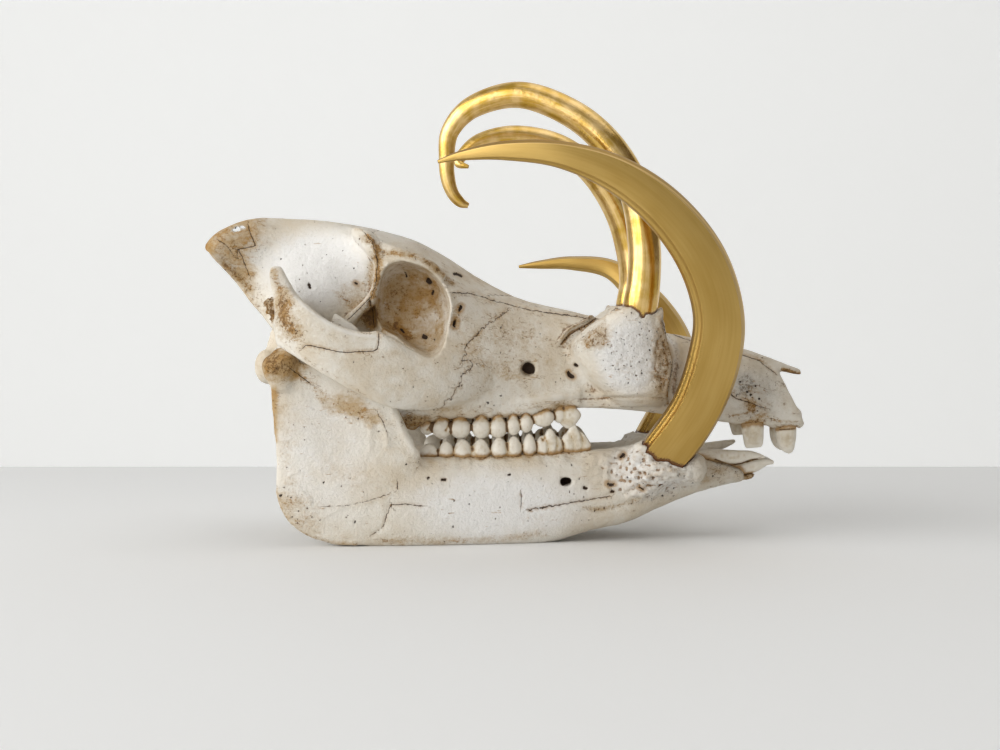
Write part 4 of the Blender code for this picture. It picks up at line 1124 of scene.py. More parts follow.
    def work(self, strokes, holes, seams, patches, teeth):
        """Stains, carves and cracks a whole bone, and keeps where it is hollow."""
        gaps = gaps_between(self.points, teeth, TEETH_BROWNING_REACH)
        self.leave(slice(None), 1 - gaps / TEETH_BROWNING_REACH, TEETH_BROWNING)
        for patch in patches.values():
            self.leave(slice(None), self.inside(patch), patch)
        for stroke in strokes.values():
            self.carve(stroke)
        self.write()
        for seed, patch in enumerate(patches.values()):
            self.roughen(patch, seed)
        for seam in seams.values():
            self.crack(seam)
        for hole in holes.values():
            self.bore(hole)
        skin = lumps(self.points, 3.1, 50) * 0.1 + lumps(self.points, 1.6, 51) * 0.06
        self.points += self.normals * skin[:, None]
        self.write()
        self.mark("hollow")[:] = self.hollowness(30)
        self.mark("crease")[:] = self.hollowness(5)
        self.write_marks()

    def inside(self, patch):
        """How deep each point lies in a patch, from 0 at its edge to 1."""
        off = self.points.copy()
        off[:, 1] = abs(off[:, 1])
        depth = np.linalg.norm((off - patch.centre) / patch.radii, axis=1)
        return np.clip(1.7 * (1 - depth), 0, 1)

    def roughen(self, patch, seed):
        if not patch.rough:
            return
        share = self.inside(patch)
        chosen = np.flatnonzero(share > 0.01)
        rise = lumps(self.points[chosen], patch.rough_size, seed) * share[chosen] * patch.rough
        self.points[chosen] += self.normals[chosen] * rise[:, None]


def with_gums(strokes, cusps, row, rise, breadth, height, warm):
    """The strokes and, after them, a hollow in the gum at every cusp."""
    gums = {}
    for number, cusp in enumerate(cusps):
        path = [(cusp.x, row_place(row, cusp.x)[1] + rise)]
        gums[f"gum of tooth {number}"] = Stroke(path, cusp.half_length * breadth, height, warm=warm)
    return strokes | gums


def with_pits(holes, pits):
    """The holes and, after them, the pits."""
    return holes | {f"pit {number}": Hole([(x, z)], size, size) for number, (x, z, size) in enumerate(pits)}


def gaps_between(points, other, reach):
    """How far each point, in millimetres, is from another object, up to the given reach."""
    tree = BVHTree.FromObject(other, bpy.context.evaluated_depsgraph_get())
    gaps = np.full(len(points), float(reach))
    for number, point in enumerate(points):
        found = tree.find_nearest(Vector(point) * MM, reach * MM)
        if found[0] is not None:
            gaps[number] = found[3] / MM
    return gaps


def eye_socket(side):
    """The hollow of an eye socket: its rim carried inwards and closing to a bowl."""
    rim = smooth_through(ORBIT_RIM, RIM_POINTS, closed=True)
    middle = rim.mean(axis=0)
    rings = []
    for y, size, back in ORBIT_DEPTHS:
        ring = middle + (rim - middle) * size
        rings.append(np.column_stack([ring[:, 0] + back, np.full(RIM_POINTS, side * y), ring[:, 1]]))
    return loft(rings)


def build_cranium(teeth):
    shells = [skull_core(), level_bar(NASAL_TIP), egg(OCCIPUT)]
    for side in SIDES.values():
        shells += [bar_loft(ZYGOMATIC_ARCH, side), level_loft(TEMPORAL_SPUR, side)]
        shells += [level_loft(CANINE_SHEATH, side, squareness=0.95), bar_loft(UPPER_GUM, side)]
        shells += [ridge_loft(ridge, side) for ridge in (ORBIT_RIDGE, BROW_RIM)]
        shells += [egg(lump, side) for lump in CRANIUM_LUMPS.values()]
    made = to_object("cranium_bone", shells)
    remesh(made, BONE_VOXEL, 3)
    hollows = [egg(lump) for lump in MIDDLE_HOLLOWS.values()]
    for side in SIDES.values():
        hollows.append(eye_socket(side))
        hollows.append(egg(FACE_NERVE_HOLE, side))
    cut_away(made, hollows)
    remesh(made, BONE_VOXEL, 2)
    bone = Bone(made)
    for patch, rounds in CRANIUM_BLENDS:
        bone.soften(bone.inside(patch), rounds)
    bone.write()
    strokes = with_gums(CRANIUM_STROKES, UPPER_CUSPS, UPPER_ROW, 0.6, 0.7, -1.1, 0.6)
    holes = with_pits(CRANIUM_HOLES, CRANIUM_PITS)
    bone.work(strokes, holes, CRANIUM_SEAMS, CRANIUM_PATCHES, teeth)
    for limbs in UPPER_TUSK.values():
        cut_away(made, [limb_loft(limbs, tusk_sections("upper", 48), grow=SOCKET_ROOM)])
    cut_away(made, [egg(part) for part in CREST_SLIT])
    thin_out(made)
    return made


def build_mandible(teeth):
    shells = []
    for side in SIDES.values():
        shells += [bar_loft(JAW_BODY, side), level_loft(JAW_RAMUS, side), level_loft(CORONOID, side)]
        shells += [level_loft(JAW_CONDYLE, side)] + [egg(lump, side) for lump in JAW_LUMPS.values()]
    for limbs in LOWER_TUSK.values():
        collar = smooth_through(limbs[:3], 13)[:11]
        shells.append(limb_loft(collar, [np.column_stack(oval(36, 0.9))], grow=COLLAR))
    made = to_object("jaw_bone", shells)
    remesh(made, BONE_VOXEL, 4)
    cut_away(made, [egg(JAW_NERVE_HOLE, side) for side in SIDES.values()])
    remesh(made, BONE_VOXEL, 2)
    bone = Bone(made)
    for patch, rounds in JAW_BLENDS:
        bone.soften(bone.inside(patch), rounds)
    bone.write()
    strokes = with_gums(JAW_STROKES, LOWER_CUSPS, LOWER_ROW, -0.2, 0.8, -0.9, 0.3)
    bone.work(strokes, with_pits(JAW_HOLES, JAW_PITS), JAW_SEAMS, JAW_PATCHES, teeth)
    bone.points[:, 2] = np.maximum(bone.points[:, 2], OFF_TABLE)
    bone.write()
    for limbs in LOWER_TUSK.values():
        cut_away(made, [limb_loft(limbs, tusk_sections("lower", 56), grow=SOCKET_ROOM)])
    thin_out(made)
    return made


def tusk_sections(kind, count):
    """The unit sections of a tusk from root to tip: upper ones are round, lower ones have faces."""
    if kind == "upper":
        return [np.column_stack(oval(count, 1))]
    return [smooth_through(corners, count, closed=True) for corners in (LOWER_TUSK_ROOT, LOWER_TUSK_TIP)]


TUSK_STEPS = 16
TUSK_POINTS = 112


def build_tusk(kind, side, limbs, bone):
    """A tusk that knows each point's place on the straightened tusk, so that its grain follows its curl."""
    path = smooth_through(limbs, (len(limbs) - 1) * TUSK_STEPS + 1)
    length = np.concatenate([[0], np.cumsum(np.linalg.norm(np.diff(path[:, :3], axis=0), axis=1))])
    shell = limb_loft(limbs, tusk_sections(kind, TUSK_POINTS), TUSK_STEPS)
    made = to_object(f"{kind}_{side}_tusk_gilt", [shell])
    points = points_of(made)
    ring = np.arange(len(points)) // TUSK_POINTS
    off = points - path[ring, :3]
    run = np.gradient(path[:, :3], axis=0)
    run /= np.linalg.norm(run, axis=1)[:, None]
    beside = np.array([0, 1, 0]) - run * run[:, 1:2]
    beside /= np.linalg.norm(beside, axis=1)[:, None]
    outward = np.cross(beside, run)
    reach = (off * outward[ring]).sum(axis=1)
    straight = np.column_stack([length[ring], reach, (off * beside[ring]).sum(axis=1)])
    keep_values(made, "straight", straight)
    widest = np.maximum(reach.reshape(-1, TUSK_POINTS).max(axis=1), 0.1)
    keep_values(made, "rim", reach / widest[ring])
    keep_values(made, "to_bone", gaps_between(points, bone, GUM_REACH))
    return made


def row_place(row, x):
    """Where a row of teeth runs at the given x: how far from the middle, and the height of the gum."""
    xs, ys, zs = zip(*row)
    return np.interp(x, xs, ys), np.interp(x, xs, zs)


# Outlines of a cusp from its root to its top: the height, and how wide it is there.
BLUNT_CUSP = [
    (-1, 0.5), (-0.3, 0.55), (0, 0.7), (0.18, 0.96), (0.42, 1.1), (0.68, 1), (0.89, 0.68), (1, 0.2),
]
SHARP_CUSP = [
    (-1, 0.5), (-0.3, 0.58), (0, 0.74), (0.15, 0.98), (0.34, 1), (0.6, 0.64), (0.85, 0.28), (1, 0.08),
]


def cusp_lofts(cusp, row, side, down):
    """The cheek and tongue halves of one bulging cusp pair, on their roots."""
    y, gum = row_place(row, cusp.x)
    along, across = oval(TOOTH_POINTS, 0.9)
    shells = []
    for half in (-1, 1):
        rings = []
        for (blunt, wide), (sharp, narrow) in zip(BLUNT_CUSP, SHARP_CUSP):
            share = blunt + (sharp - blunt) * cusp.point
            height = share * (cusp.height if share > 0 else ROOT_DEPTH)
            swell = wide + (narrow - wide) * cusp.point
            middle = y + half * cusp.half_breadth * 0.4
            rings.append(np.column_stack([
                cusp.x + along * cusp.half_length * swell,
                side * (middle + across * cusp.half_breadth * 0.62 * swell),
                np.full(TOOTH_POINTS, gum - height if down else gum + height),
            ]))
        shells.append(loft(smooth_rings(rings)))
    return shells


def smooth_rings(rings, steps=4):
    """More rings between the given ones, along smooth curves."""
    stacked = np.array(rings)
    flat = stacked.reshape(len(rings), -1)
    return smooth_through(flat, (len(rings) - 1) * steps + 1).reshape(-1, *stacked.shape[1:])


def build_teeth(name, cusps, row, incisors, marks, down):
    shells = []
    for side_name, side in SIDES.items():
        for cusp in cusps:
            shells += cusp_lofts(cusp, row, side, down)
        for limbs in incisors[side_name]:
            shells.append(limb_loft(limbs, [np.column_stack(oval(TOOTH_POINTS, 0.85))], steps=5))
    made = to_object(name, shells)
    remesh(made, TOOTH_VOXEL, 3)
    teeth = Bone(made)
    for mark in marks:
        teeth.carve(mark)
    teeth.points += teeth.normals * (lumps(teeth.points, 1.4, 60) * 0.07)[:, None]
    teeth.write()
    tongue_side = row_place(row, teeth.points[:, 0])[0] - abs(teeth.points[:, 1])
    cheek_teeth = teeth.points[:, 0] < 60
    teeth.leave(slice(None), np.clip(tongue_side / 3, 0, 1) * cheek_teeth, TEETH_BROWNING)
    teeth.mark("hollow")[:] = teeth.hollowness(24)
    teeth.write_marks()
    return made, teeth.points


# Where the plain left lower tusk of the frame starts, from the middle plane: its least X and Y.
PLAIN_TUSK_LOW = (6.88, 15.09)


def middle_shift():
    """How far the skull's own middle plane lies from the frame's origin."""
    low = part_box("lower_tusk_left")[0]
    return Vector((low.x - PLAIN_TUSK_LOW[0] * MM, low.y - PLAIN_TUSK_LOW[1] * MM, 0))


def bring_home(made, node, material):
    """Moves a finished piece into the frame and gives it its finish."""
    made.data.transform(Matrix.Translation(SHIFT))
    made.data.materials.clear()
    made.data.materials.append(material)
    made.data.shade_smooth()
    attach(made, "root")
    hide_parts(node)


class Wire:
    """A value on its way between a material's nodes. Sums of wires make the nodes that work them out."""

    def __init__(self, nodes, socket):
        self.nodes = nodes
        self.socket = socket

    def maths(self, operation, *values):
        return self.nodes.make("Math", {"operation": operation}, dict(enumerate(values)))

    def __add__(self, other):
        return self.maths("ADD", self, other)

    def __sub__(self, other):
        return self.maths("SUBTRACT", self, other)

    def __rsub__(self, other):
        return self.maths("SUBTRACT", other, self)

    def __mul__(self, other):
        return self.maths("MULTIPLY", self, other)

    def __truediv__(self, other):
        return self.maths("DIVIDE", self, other)

    def __rtruediv__(self, other):
        return self.maths("DIVIDE", other, self)

    def __pow__(self, other):
        return self.maths("POWER", self, other)

    def __abs__(self):
        return self.maths("ABSOLUTE", self)

    __radd__ = __add__
    __rmul__ = __mul__

    def at_most(self, other):
        return self.maths("MINIMUM", self, other)

    def at_least(self, other):
        return self.maths("MAXIMUM", self, other)

    def ramp(self, low, high):
        """0 below low, 1 above high, with a soft change between them."""
        inputs = {"Value": self, "From Min": low, "From Max": high}
        return self.nodes.make("MapRange", {"interpolation_type": "SMOOTHSTEP"}, inputs)


class Nodes:
    """The nodes of one material."""

    def __init__(self, tree):
        self.tree = tree

    def feed(self, socket, value):
        if isinstance(value, Wire):
            self.tree.links.new(value.socket, socket)
        else:
            socket.default_value = value

    def make(self, kind, settings, inputs, output=0):
        node = self.tree.nodes.new("ShaderNode" + kind)
        for name, value in settings.items():
            setattr(node, name, value)
        for name, value in inputs.items():
            self.feed(node.inputs[name], value)
        return Wire(self, node.outputs[output])

    def mark(self, name, output="Fac"):
        return self.make("Attribute", {"attribute_name": name}, {}, output)

    def split(self, vector):
        """The X, Y and Z of a vector."""
        first = self.make("SeparateXYZ", {}, {0: vector})
        return [Wire(self, output) for output in first.socket.node.outputs]

    def place(self):
        """The place on the object in millimetres."""
        metres = self.make("TexCoord", {}, {}, "Object")
        return self.make("VectorMath", {"operation": "SCALE"}, {0: metres, "Scale": 1000})

    def stretch(self, place, factors):
        return self.make("VectorMath", {"operation": "MULTIPLY"}, {0: place, 1: factors})

    def noise(self, place, size, detail=3, roughness=0.55, output=0):
        inputs = {"Vector": place, "Scale": 1 / size, "Detail": detail, "Roughness": roughness}
        return self.make("TexNoise", {}, inputs, output)

    def warped(self, place, size, reach):
        """The place pushed about by a noise, by up to the given reach."""
        push = self.noise(place, size, 2, 0.5, "Color")
        push = self.make("VectorMath", {"operation": "SUBTRACT"}, {0: push, 1: (0.5, 0.5, 0.5)})
        push = self.make("VectorMath", {"operation": "SCALE"}, {0: push, "Scale": 2 * reach})
        return self.make("VectorMath", {"operation": "ADD"}, {0: place, 1: push})

    def cells(self, place, size):
        """The distance to the nearest of many strewn points, and two random values for that point."""
        distance = self.make("TexVoronoi", {}, {"Vector": place, "Scale": 1 / size})
        colour = Wire(self, distance.socket.node.outputs["Color"])
        chance = self.make("SeparateColor", {}, {0: colour})
        return distance, chance, Wire(self, chance.socket.node.outputs["Green"])

    def mix(self, share, colour, other, blend="MIX"):
        settings = {"data_type": "RGBA", "blend_type": blend}
        return self.make("Mix", settings, {0: share, 6: colour, 7: other}, 2)

    def bump(self, height):
        """The normal over a height in millimetres."""
        return self.make("Bump", {}, {"Height": height, "Strength": 1, "Distance": MM})


def new_material(name):
    material = bpy.data.materials.new(name)
    material.use_nodes = True
    tree = material.node_tree
    return material, Nodes(tree), tree.nodes["Principled BSDF"]


def plain_material(name, colour, roughness):
    material, _, shader = new_material(name)
    shader.inputs["Base Color"].default_value = colour
    shader.inputs["Roughness"].default_value = roughness
    return material


IVORY = (0.72, 0.68, 0.60, 1)
CREAM = (0.62, 0.54, 0.42, 1)
WHITE = (0.80, 0.785, 0.755, 1)
GREY = (0.47, 0.45, 0.41, 1)
DARK_GREY = (0.17, 0.14, 0.10, 1)
TAN = (0.42, 0.28, 0.125, 1)
OCHRE = (0.36, 0.19, 0.045, 1)
BROWN = (0.15, 0.075, 0.028, 1)
BLACK_BROWN = (0.03, 0.015, 0.007, 1)
SPECK_BROWN = (0.11, 0.06, 0.025, 1)


def bone_material():
    material, nodes, shader = new_material("bone")
    place = nodes.place()
    wide = nodes.noise(place, 26, 2)
    middle = nodes.noise(place, 6, 5, 0.65)
    other = nodes.noise(nodes.stretch(place, (0.6, 1, 1.2)), 9, 4, 0.6)
    fine = nodes.noise(place, 1.5, 5, 0.7)
    grit = nodes.noise(place, 0.5, 3, 0.6)
    drawn = nodes.noise(nodes.stretch(place, (0.14, 1, 1)), 1.3, 4, 0.65)
    stain, pores, grey, clean, warm = (nodes.mark(name) for name in MARKS)
    warm = warm - clean * 0.9
    hollow, crease = nodes.mark("hollow"), nodes.mark("crease")
    colour = nodes.mix((wide * 0.6 + middle * 0.4).ramp(0.38, 0.62), IVORY, CREAM)
    # Whiter where the bone is marked clean: partly cleaner bone, partly painted light and painted
    # highlights.
    colour = nodes.mix((clean * 1.2 + (middle - 0.5) * 0.9).ramp(0.1, 0.9), colour, WHITE)
    greyed = (grey * 0.9 + (middle - 0.5) * 1.2).ramp(0.1, 0.9)
    colour = nodes.mix(greyed * 0.6, colour, GREY)
    colour = nodes.mix((grey + (fine - 0.5) * 2.4 + (grit - 0.5)).ramp(0.8, 1.25) * 0.75, colour, DARK_GREY)
    warmed = (warm + (other - 0.5) * 2 + (wide - 0.5) * 0.6).ramp(0.1, 1.1)
    colour = nodes.mix(warmed * 0.8, colour, TAN)
    colour = nodes.mix((warm + (middle - 0.5) * 2.4 + (wide - 0.5)).ramp(0.7, 1.2) * 0.85, colour, OCHRE)
    tanned = (stain + (other - 0.5) * 1.3 + (fine - 0.5) * 1.1 + (wide - 0.5) * 0.5).ramp(0.2, 0.95)
    colour = nodes.mix(tanned * 0.75, colour, TAN)
    rusty = (stain + (middle - 0.5) * 1.9 + (fine - 0.5) * 0.7).ramp(0.7, 1.05)
    colour = nodes.mix(rusty * 0.75, colour, OCHRE)
    browned = (stain + (fine - 0.5) * 2.1 + (grit - 0.5) * 0.9 + (other - 0.5) * 0.9).ramp(0.8, 1.1)
    colour = nodes.mix(browned * 0.85, colour, BROWN)
    # Painted shade, partly dirt: ochre to brown in broad hollows and in fine creases of the bone.
    dirt_and_shade_colour = nodes.mix((fine * 0.6 + middle * 0.4).ramp(0.42, 0.58), OCHRE, BROWN)
    dirt_and_shade = (hollow * 0.55 + (fine - 0.5) * 1.6 + (middle - 0.5) * 0.8 + (stain - 0.3) * 0.3).ramp(0.35, 1.5)
    colour = nodes.mix(dirt_and_shade * 0.75, colour, dirt_and_shade_colour)
    dirt_and_shade = (crease * 3 + (fine - 0.5) * 1.6 + (middle - 0.5) * 0.8 + stain * 0.25).ramp(0.35, 1.15)
    colour = nodes.mix(dirt_and_shade * 0.8, colour, dirt_and_shade_colour)
    contour = abs(nodes.noise(nodes.stretch(place, (0.4, 1, 1.3)), 8, 3, 0.6) - 0.5)
    hairline = (0.011 - contour).ramp(0, 0.007) * (middle + stain * 0.35 - clean * 0.5).ramp(0.52, 0.64)
    colour = nodes.mix(hairline * 0.6, colour, dirt_and_shade_colour)
    scuff = (drawn + stain * 0.12 + (middle - 0.5) * 0.6).ramp(0.68, 0.78)
    colour = nodes.mix(scuff * 0.6, colour, OCHRE)
    gap, chance, size = nodes.cells(nodes.warped(place, 0.9, 0.8), 1.25)
    speck = (0.03 + size**3 * 0.42 - gap).ramp(0, 0.1)
    speck = speck * (pores * 0.55 + (middle - 0.5) * 2.2 + 0.02 - chance).ramp(0, 0.15)
    wide_gap, wide_chance, wide_size = nodes.cells(nodes.warped(place, 1.6, 1.8), 4.6)
    pit = (0.05 + wide_size * wide_size * 0.16 - wide_gap).ramp(0, 0.05)
    pit = pit * (pores * 0.6 + (wide - 0.5) * 0.8 + 0.02 - wide_chance).ramp(0, 0.1)
    ragged = nodes.mark("hole") + (fine - 0.5) + (middle - 0.5) * 1.4
    halo = (nodes.mark("hole_halo") + 0.4 - ragged).ramp(0, 1.6) * nodes.mark("hole_halo").ramp(0, 1.2)
    colour = nodes.mix((halo * (middle + fine - 0.2)).at_most(1) * 0.8, colour, OCHRE)
    colour = nodes.mix(speck * 0.92, colour, SPECK_BROWN)
    hole = (0.22 - ragged).ramp(0, 0.16).at_least(pit)
    colour = nodes.mix(hole * 0.96, colour, BLACK_BROWN)
    waver = (nodes.noise(place, 2.6, 3, 0.6) - 0.5) * 2 * nodes.mark("seam_waver") * 1.6
    line = abs(nodes.mark("seam") + waver)
    dark = nodes.mark("seam_dark")
    line_share = (0.08 + fine * 0.36 - line).ramp(0, 0.15)
    line_share = line_share * (dark + (middle - 0.5) * 1.8 + (fine - 0.5)).ramp(0, 0.6)
    halo = (1.9 - line).ramp(0, 1.9) * dark * (fine + (middle - 0.5) + 0.05).ramp(0.25, 0.75)
    colour = nodes.mix(halo * 0.6, colour, OCHRE)
    colour = nodes.mix(line_share * 0.9, colour, BLACK_BROWN)
    nodes.feed(shader.inputs["Base Color"], colour)
    nodes.feed(shader.inputs["Roughness"], 0.48 + fine * 0.25 + tanned * 0.12)
    height = (middle - 0.5) * 0.4 + (fine - 0.5) * 0.42 + (drawn - 0.5) * 0.22 + (grit - 0.5) * 0.08
    height = height + (fine - 0.5) * pores * 0.8 - hole.at_least(speck) * 0.7 - line_share * 0.4
    nodes.feed(shader.inputs["Normal"], nodes.bump(height))
    shader.inputs["Specular IOR Level"].default_value = 0.35
    return material


TOOTH_IVORY = (0.68, 0.605, 0.47, 1)
TOOTH_CREAM = (0.54, 0.45, 0.31, 1)
TOOTH_WHITE = (0.82, 0.79, 0.72, 1)
TOOTH_DARK_BROWN = (0.085, 0.042, 0.016, 1)


def tooth_material():
    material, nodes, shader = new_material("tooth")
    place = nodes.place()
    middle = nodes.noise(place, 4, 4, 0.6)
    fine = nodes.noise(place, 0.9, 4, 0.65)
    drawn = nodes.noise(nodes.stretch(place, (1, 1, 0.2)), 0.8, 3, 0.6)
    hollow, stain = nodes.mark("hollow"), nodes.mark("stain")
    colour = nodes.mix((middle * 0.7 + fine * 0.3).ramp(0.36, 0.64), TOOTH_IVORY, TOOTH_CREAM)
    # Painted highlight: the teeth are whiter where they bulge out.
    colour = nodes.mix((hollow * -5 + (fine - 0.5) * 0.4).ramp(0.1, 0.7) * 0.6, colour, TOOTH_WHITE)
    colour = nodes.mix((drawn + (middle - 0.5) * 0.6).ramp(0.62, 0.78) * 0.35, colour, TAN)
    gap = nodes.mark("to_bone")
    neck = (3 - gap + (middle - 0.5) * 4).ramp(0, 2.6)
    colour = nodes.mix(neck * 0.6, colour, TAN)
    # Painted shade, partly dirt: ochre and dark brown in the teeth's hollows between cusps; next to the
    # bone the teeth turn tan, ochre and dark brown.
    browned = (hollow * 9 + stain * 1.1 + (middle - 0.5) * 1.6 + (fine - 0.5) * 0.5).ramp(0.1, 0.8)
    browned = browned.at_least((1.9 - gap + (middle - 0.5) * 3.4).ramp(0, 1.3))
    colour = nodes.mix(browned * 0.75, colour, OCHRE)
    edge = (0.35 - gap + (fine - 0.5) * 1.6 + (middle - 0.5) * 1.6).ramp(0, 0.6)
    dirt_and_shade = (hollow * 7 + stain * 0.9 + (fine - 0.5) * 1.2 + (middle - 0.5) * 0.9).ramp(0.55, 1.15)
    dark = edge.at_least(dirt_and_shade)
    colour = nodes.mix(dark * 0.85, colour, TOOTH_DARK_BROWN)
    nodes.feed(shader.inputs["Base Color"], colour)
    nodes.feed(shader.inputs["Roughness"], 0.24 + fine * 0.2 + dark * 0.35)
    height = (middle - 0.5) * 0.2 + (fine - 0.5) * 0.1 + (drawn - 0.5) * 0.06
    nodes.feed(shader.inputs["Normal"], nodes.bump(height))
    return material


PAINT_EDGE = (0.10, 0.028, 0.008, 1)
GOLD = (0.90, 0.64, 0.28, 1)
DEEP_GOLD = (0.64, 0.385, 0.05, 1)
OLD_GOLD = (0.30, 0.16, 0.025, 1)
PALE_GOLD = (0.57, 0.38, 0.12, 1)
DULL_GOLD = (0.46, 0.29, 0.075, 1)


def bright_gold_material():
    material, nodes, shader = new_material("bright gold")
    straight = nodes.mark("straight", "Vector")
    brushed = nodes.noise(nodes.stretch(straight, (0.05, 1, 1)), 0.8, 4, 0.6)
    middle = nodes.noise(straight, 8, 3)
    hammered = nodes.noise(nodes.stretch(straight, (1.6, 1, 1)), 2.4, 3, 0.6)
    fine = nodes.noise(straight, 0.6, 3, 0.6)
    length = nodes.split(straight)[0]
    curl = (length - 95 + (middle - 0.5) * 60).ramp(0, 40)
    colour = nodes.mix((middle * 0.6 + brushed * 0.4).ramp(0.36, 0.66), DEEP_GOLD, GOLD)
    worn = ((hammered - 0.5) * curl * 1.6 + (fine - 0.5) * 0.8 + (brushed - 0.5) * 0.4).ramp(0.3, 0.7)
    colour = nodes.mix(worn * 0.6, colour, OLD_GOLD)
    edge = (1.5 - nodes.mark("to_bone") + (fine - 0.5) * 2).ramp(0, 0.8)
    colour = nodes.mix(edge * 0.9, colour, PAINT_EDGE)
    nodes.feed(shader.inputs["Base Color"], colour)
    nodes.feed(shader.inputs["Metallic"], 1 - edge * 0.7)
    nodes.feed(shader.inputs["Roughness"], 0.17 + brushed * 0.1 + curl * 0.13 + (middle - 0.5) * 0.1)
    shader.inputs["Coat Weight"].default_value = 0.4
    shader.inputs["Coat Roughness"].default_value = 0.12
    height = (brushed - 0.5) * 0.035 + (hammered - 0.5) * (0.02 + curl * 0.16) + (fine - 0.5) * curl * 0.05
    nodes.feed(shader.inputs["Normal"], nodes.bump(height))
    return material


def satin_gold_material():
    material, nodes, shader = new_material("satin gold")
    straight = nodes.mark("straight", "Vector")
    brushed = nodes.noise(nodes.stretch(straight, (0.03, 1, 1)), 1.1, 4, 0.6)
    middle = nodes.noise(nodes.stretch(straight, (0.25, 1, 1)), 12, 2)
    fine = nodes.noise(straight, 0.7, 3, 0.6)
    length, outward, _ = nodes.split(straight)
    colour = nodes.mix((middle * 0.65 + brushed * 0.35).ramp(0.3, 0.7), DULL_GOLD, PALE_GOLD)
    rear = (-7 - outward).ramp(0, 1.5) * (120 - length).ramp(0, 40)
    flecks = (fine + (brushed - 0.5) * 0.3).ramp(0.5, 0.62) * rear
    colour = nodes.mix(flecks * 0.7, colour, OLD_GOLD)
    scratch = (brushed + (fine - 0.5) * 0.2).ramp(0.68, 0.74)
    colour = nodes.mix(scratch * 0.3, colour, OLD_GOLD)
    # Painted reflection: the face past the ridge, which would mirror the dark room, is darker, and a thin
    # painted highlight runs along the ridge.
    facet = nodes.mark("rim") + length * 0.003 - 1.34
    colour = nodes.mix(facet.ramp(0, 0.08) * 0.55, colour, OLD_GOLD)
    colour = nodes.mix((0.06 - abs(facet)).ramp(0, 0.05) * 0.4, colour, GOLD)
    edge = (2.2 - nodes.mark("to_bone") + (fine - 0.5) * 3.4).ramp(0, 1.1)
    colour = nodes.mix(edge * 0.93, colour, PAINT_EDGE)
    nodes.feed(shader.inputs["Base Color"], colour)
    nodes.feed(shader.inputs["Metallic"], 1 - edge * 0.7)
    nodes.feed(shader.inputs["Roughness"], 0.34 + brushed * 0.1 - rear * 0.12)
    height = (brushed - 0.5) * 0.04 + (fine - 0.5) * (0.03 + rear * 0.35)
    nodes.feed(shader.inputs["Normal"], nodes.bump(height))
    return material


# The camera stood about 0.9 m from the skull and 0.12 m above the table, tilted down a little.
CAMERA_PLACE = (-0.0025, -0.9, 0.12)
FOCAL_PIXELS = 1765
CAMERA_DROP = math.atan(75 / FOCAL_PIXELS)
PHOTO_WIDTH = 1000
SENSOR = 36


def set_camera():
    lens = bpy.data.cameras.new("camera")
    lens.sensor_width = SENSOR
    lens.lens = FOCAL_PIXELS * SENSOR / PHOTO_WIDTH
    lens.clip_start = 0.01
    camera = bpy.data.objects.new("camera", lens)
    camera.location = Vector(CAMERA_PLACE) + SHIFT
    camera.rotation_euler = (math.radians(90) - CAMERA_DROP, 0, 0)
    bpy.context.scene.collection.objects.link(camera)
    bpy.context.scene.camera = camera


def add_softbox(name, place, aim, width, height, power, colour=(1, 1, 1)):
    light = bpy.data.lights.new(name, "AREA")
    light.shape = "RECTANGLE"
    light.size = width
    light.size_y = height
    light.energy = power
    light.color = colour
    box = bpy.data.objects.new(name, light)
    box.location = place
    box.rotation_euler = (Vector(aim) - Vector(place)).to_track_quat("-Z", "Y").to_euler()
    bpy.context.scene.collection.objects.link(box)


PALE_WALLS = (0.97, 0.98, 1, 1)
DIM_CEILING = (0.34, 0.32, 0.29, 1)
BROWN_CORNER = (0.15, 0.105, 0.06, 1)


def set_light():
    """A window and a pale wall to the left, a ceiling light, and a room that is brown to the right."""
    add_softbox("window", (-2, -0.75, 0.95), (0, 0, 0.2), 1.4, 1.9, 30)
    add_softbox("pale room to the left", (-1.15, -1.65, 0.8), (0, 0, 0.2), 1.3, 1.7, 18)
    add_softbox("ceiling", (0.5, -0.2, 1.7), (0.2, 0, 0), 1.4, 1.2, 6.5)
    world = bpy.data.worlds.new("room")
    bpy.context.scene.world = world
    world.use_nodes = True
    nodes = Nodes(world.node_tree)
    way = nodes.make("TexCoord", {}, {}, "Generated")
    rightward, _, height = nodes.split(way)
    colour = nodes.mix(height.ramp(0.1, 0.75), PALE_WALLS, DIM_CEILING)
    colour = nodes.mix(rightward.ramp(0.3, 0.85) * 0.85, colour, BROWN_CORNER)
    back = world.node_tree.nodes["Background"]
    nodes.feed(back.inputs["Color"], colour)
    back.inputs["Strength"].default_value = 0.62


TABLE_BACK = 0.36
TABLE_DEPTH = 2.6
TABLE_THICK = 0.04
FLOOR = -0.75
WALL_BACK = 2.6
HALF_ROOM = 6


def pale_stage(name, mesh, colour, glow=0):
    data = bpy.data.meshes.new(name)
    mesh.to_mesh(data)
    mesh.free()
    made = bpy.data.objects.new(name, data)
    bpy.context.scene.collection.objects.link(made)
    material = plain_material(f"pale {name}", colour, 0.7)
    shader = material.node_tree.nodes["Principled BSDF"]
    shader.inputs["Emission Color"].default_value = (1, 1, 0.99, 1)
    shader.inputs["Emission Strength"].default_value = glow
    made.data.materials.append(material)


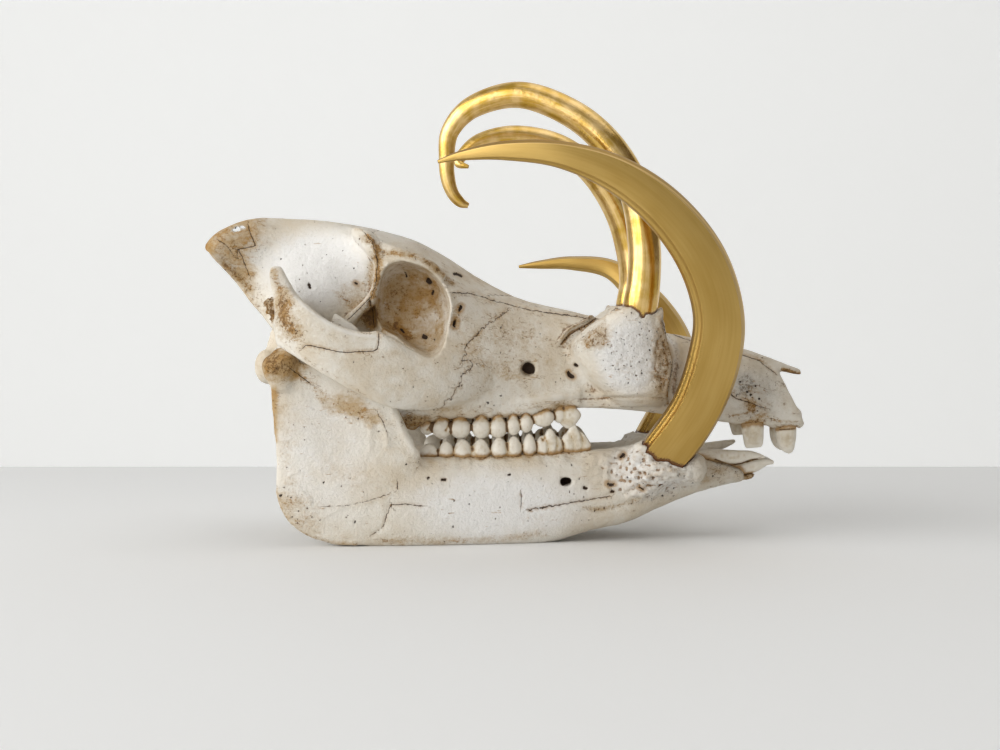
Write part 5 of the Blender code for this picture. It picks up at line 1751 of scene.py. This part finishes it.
def set_stage():
    """A pale table in a pale room, whose far wall is lit."""
    table = bmesh.new()
    bmesh.ops.create_cube(table, size=1)
    bmesh.ops.scale(table, vec=(4, TABLE_DEPTH, TABLE_THICK), verts=table.verts)
    middle = (0, TABLE_BACK - TABLE_DEPTH / 2, -TABLE_THICK / 2)
    bmesh.ops.translate(table, vec=middle, verts=table.verts)
    rounding = {"offset": 0.003, "segments": 3, "profile": 0.5, "affect": "EDGES", "material": -1}
    bmesh.ops.bevel(table, geom=table.edges, **rounding)
    pale_stage("table", table, (0.80, 0.805, 0.80, 1))
    wall = bmesh.new()
    bmesh.ops.create_grid(wall, x_segments=1, y_segments=1, size=HALF_ROOM)
    bmesh.ops.rotate(wall, matrix=Matrix.Rotation(math.radians(90), 3, "X"), verts=wall.verts)
    bmesh.ops.translate(wall, vec=(0, WALL_BACK, HALF_ROOM + FLOOR), verts=wall.verts)
    pale_stage("wall", wall, (0.86, 0.87, 0.86, 1), 0.3)
    floor = bmesh.new()
    bmesh.ops.create_grid(floor, x_segments=1, y_segments=1, size=HALF_ROOM)
    bmesh.ops.translate(floor, vec=(0, WALL_BACK - HALF_ROOM, FLOOR), verts=floor.verts)
    pale_stage("floor", floor, (0.78, 0.78, 0.77, 1))


SHIFT = middle_shift()
bone = bone_material()
tooth = tooth_material()
golds = {"upper": ("bright_gold", bright_gold_material()), "lower": ("satin_gold", satin_gold_material())}
upper_teeth, upper_points = build_teeth(
    "upper_teeth", UPPER_CUSPS, UPPER_ROW, UPPER_INCISORS, UPPER_TOOTH_MARKS, down=True)
lower_teeth, lower_points = build_teeth(
    "lower_teeth", LOWER_CUSPS, LOWER_ROW, LOWER_INCISORS, LOWER_TOOTH_MARKS, down=False)
skull = build_cranium(upper_teeth)
jaw = build_mandible(lower_teeth)
keep_values(upper_teeth, "to_bone", gaps_between(upper_points, skull, GUM_REACH))
keep_values(lower_teeth, "to_bone", gaps_between(lower_points, jaw, GUM_REACH))
sockets = {"upper": skull, "lower": jaw}
bring_home(upper_teeth, "cranium", tooth)
bring_home(lower_teeth, "mandible", tooth)
for kind, tusks in (("upper", UPPER_TUSK), ("lower", LOWER_TUSK)):
    slot, gold = golds[kind]
    for side_name, limbs in tusks.items():
        tusk = build_tusk(kind, side_name, limbs, sockets[kind])
        bring_home(tusk, f"{kind}_tusk_{side_name}", gold)
bring_home(skull, "cranium", bone)
bring_home(jaw, "mandible", bone)
set_camera()
set_light()
set_stage()
bpy.context.scene.view_settings.view_transform = "Standard"
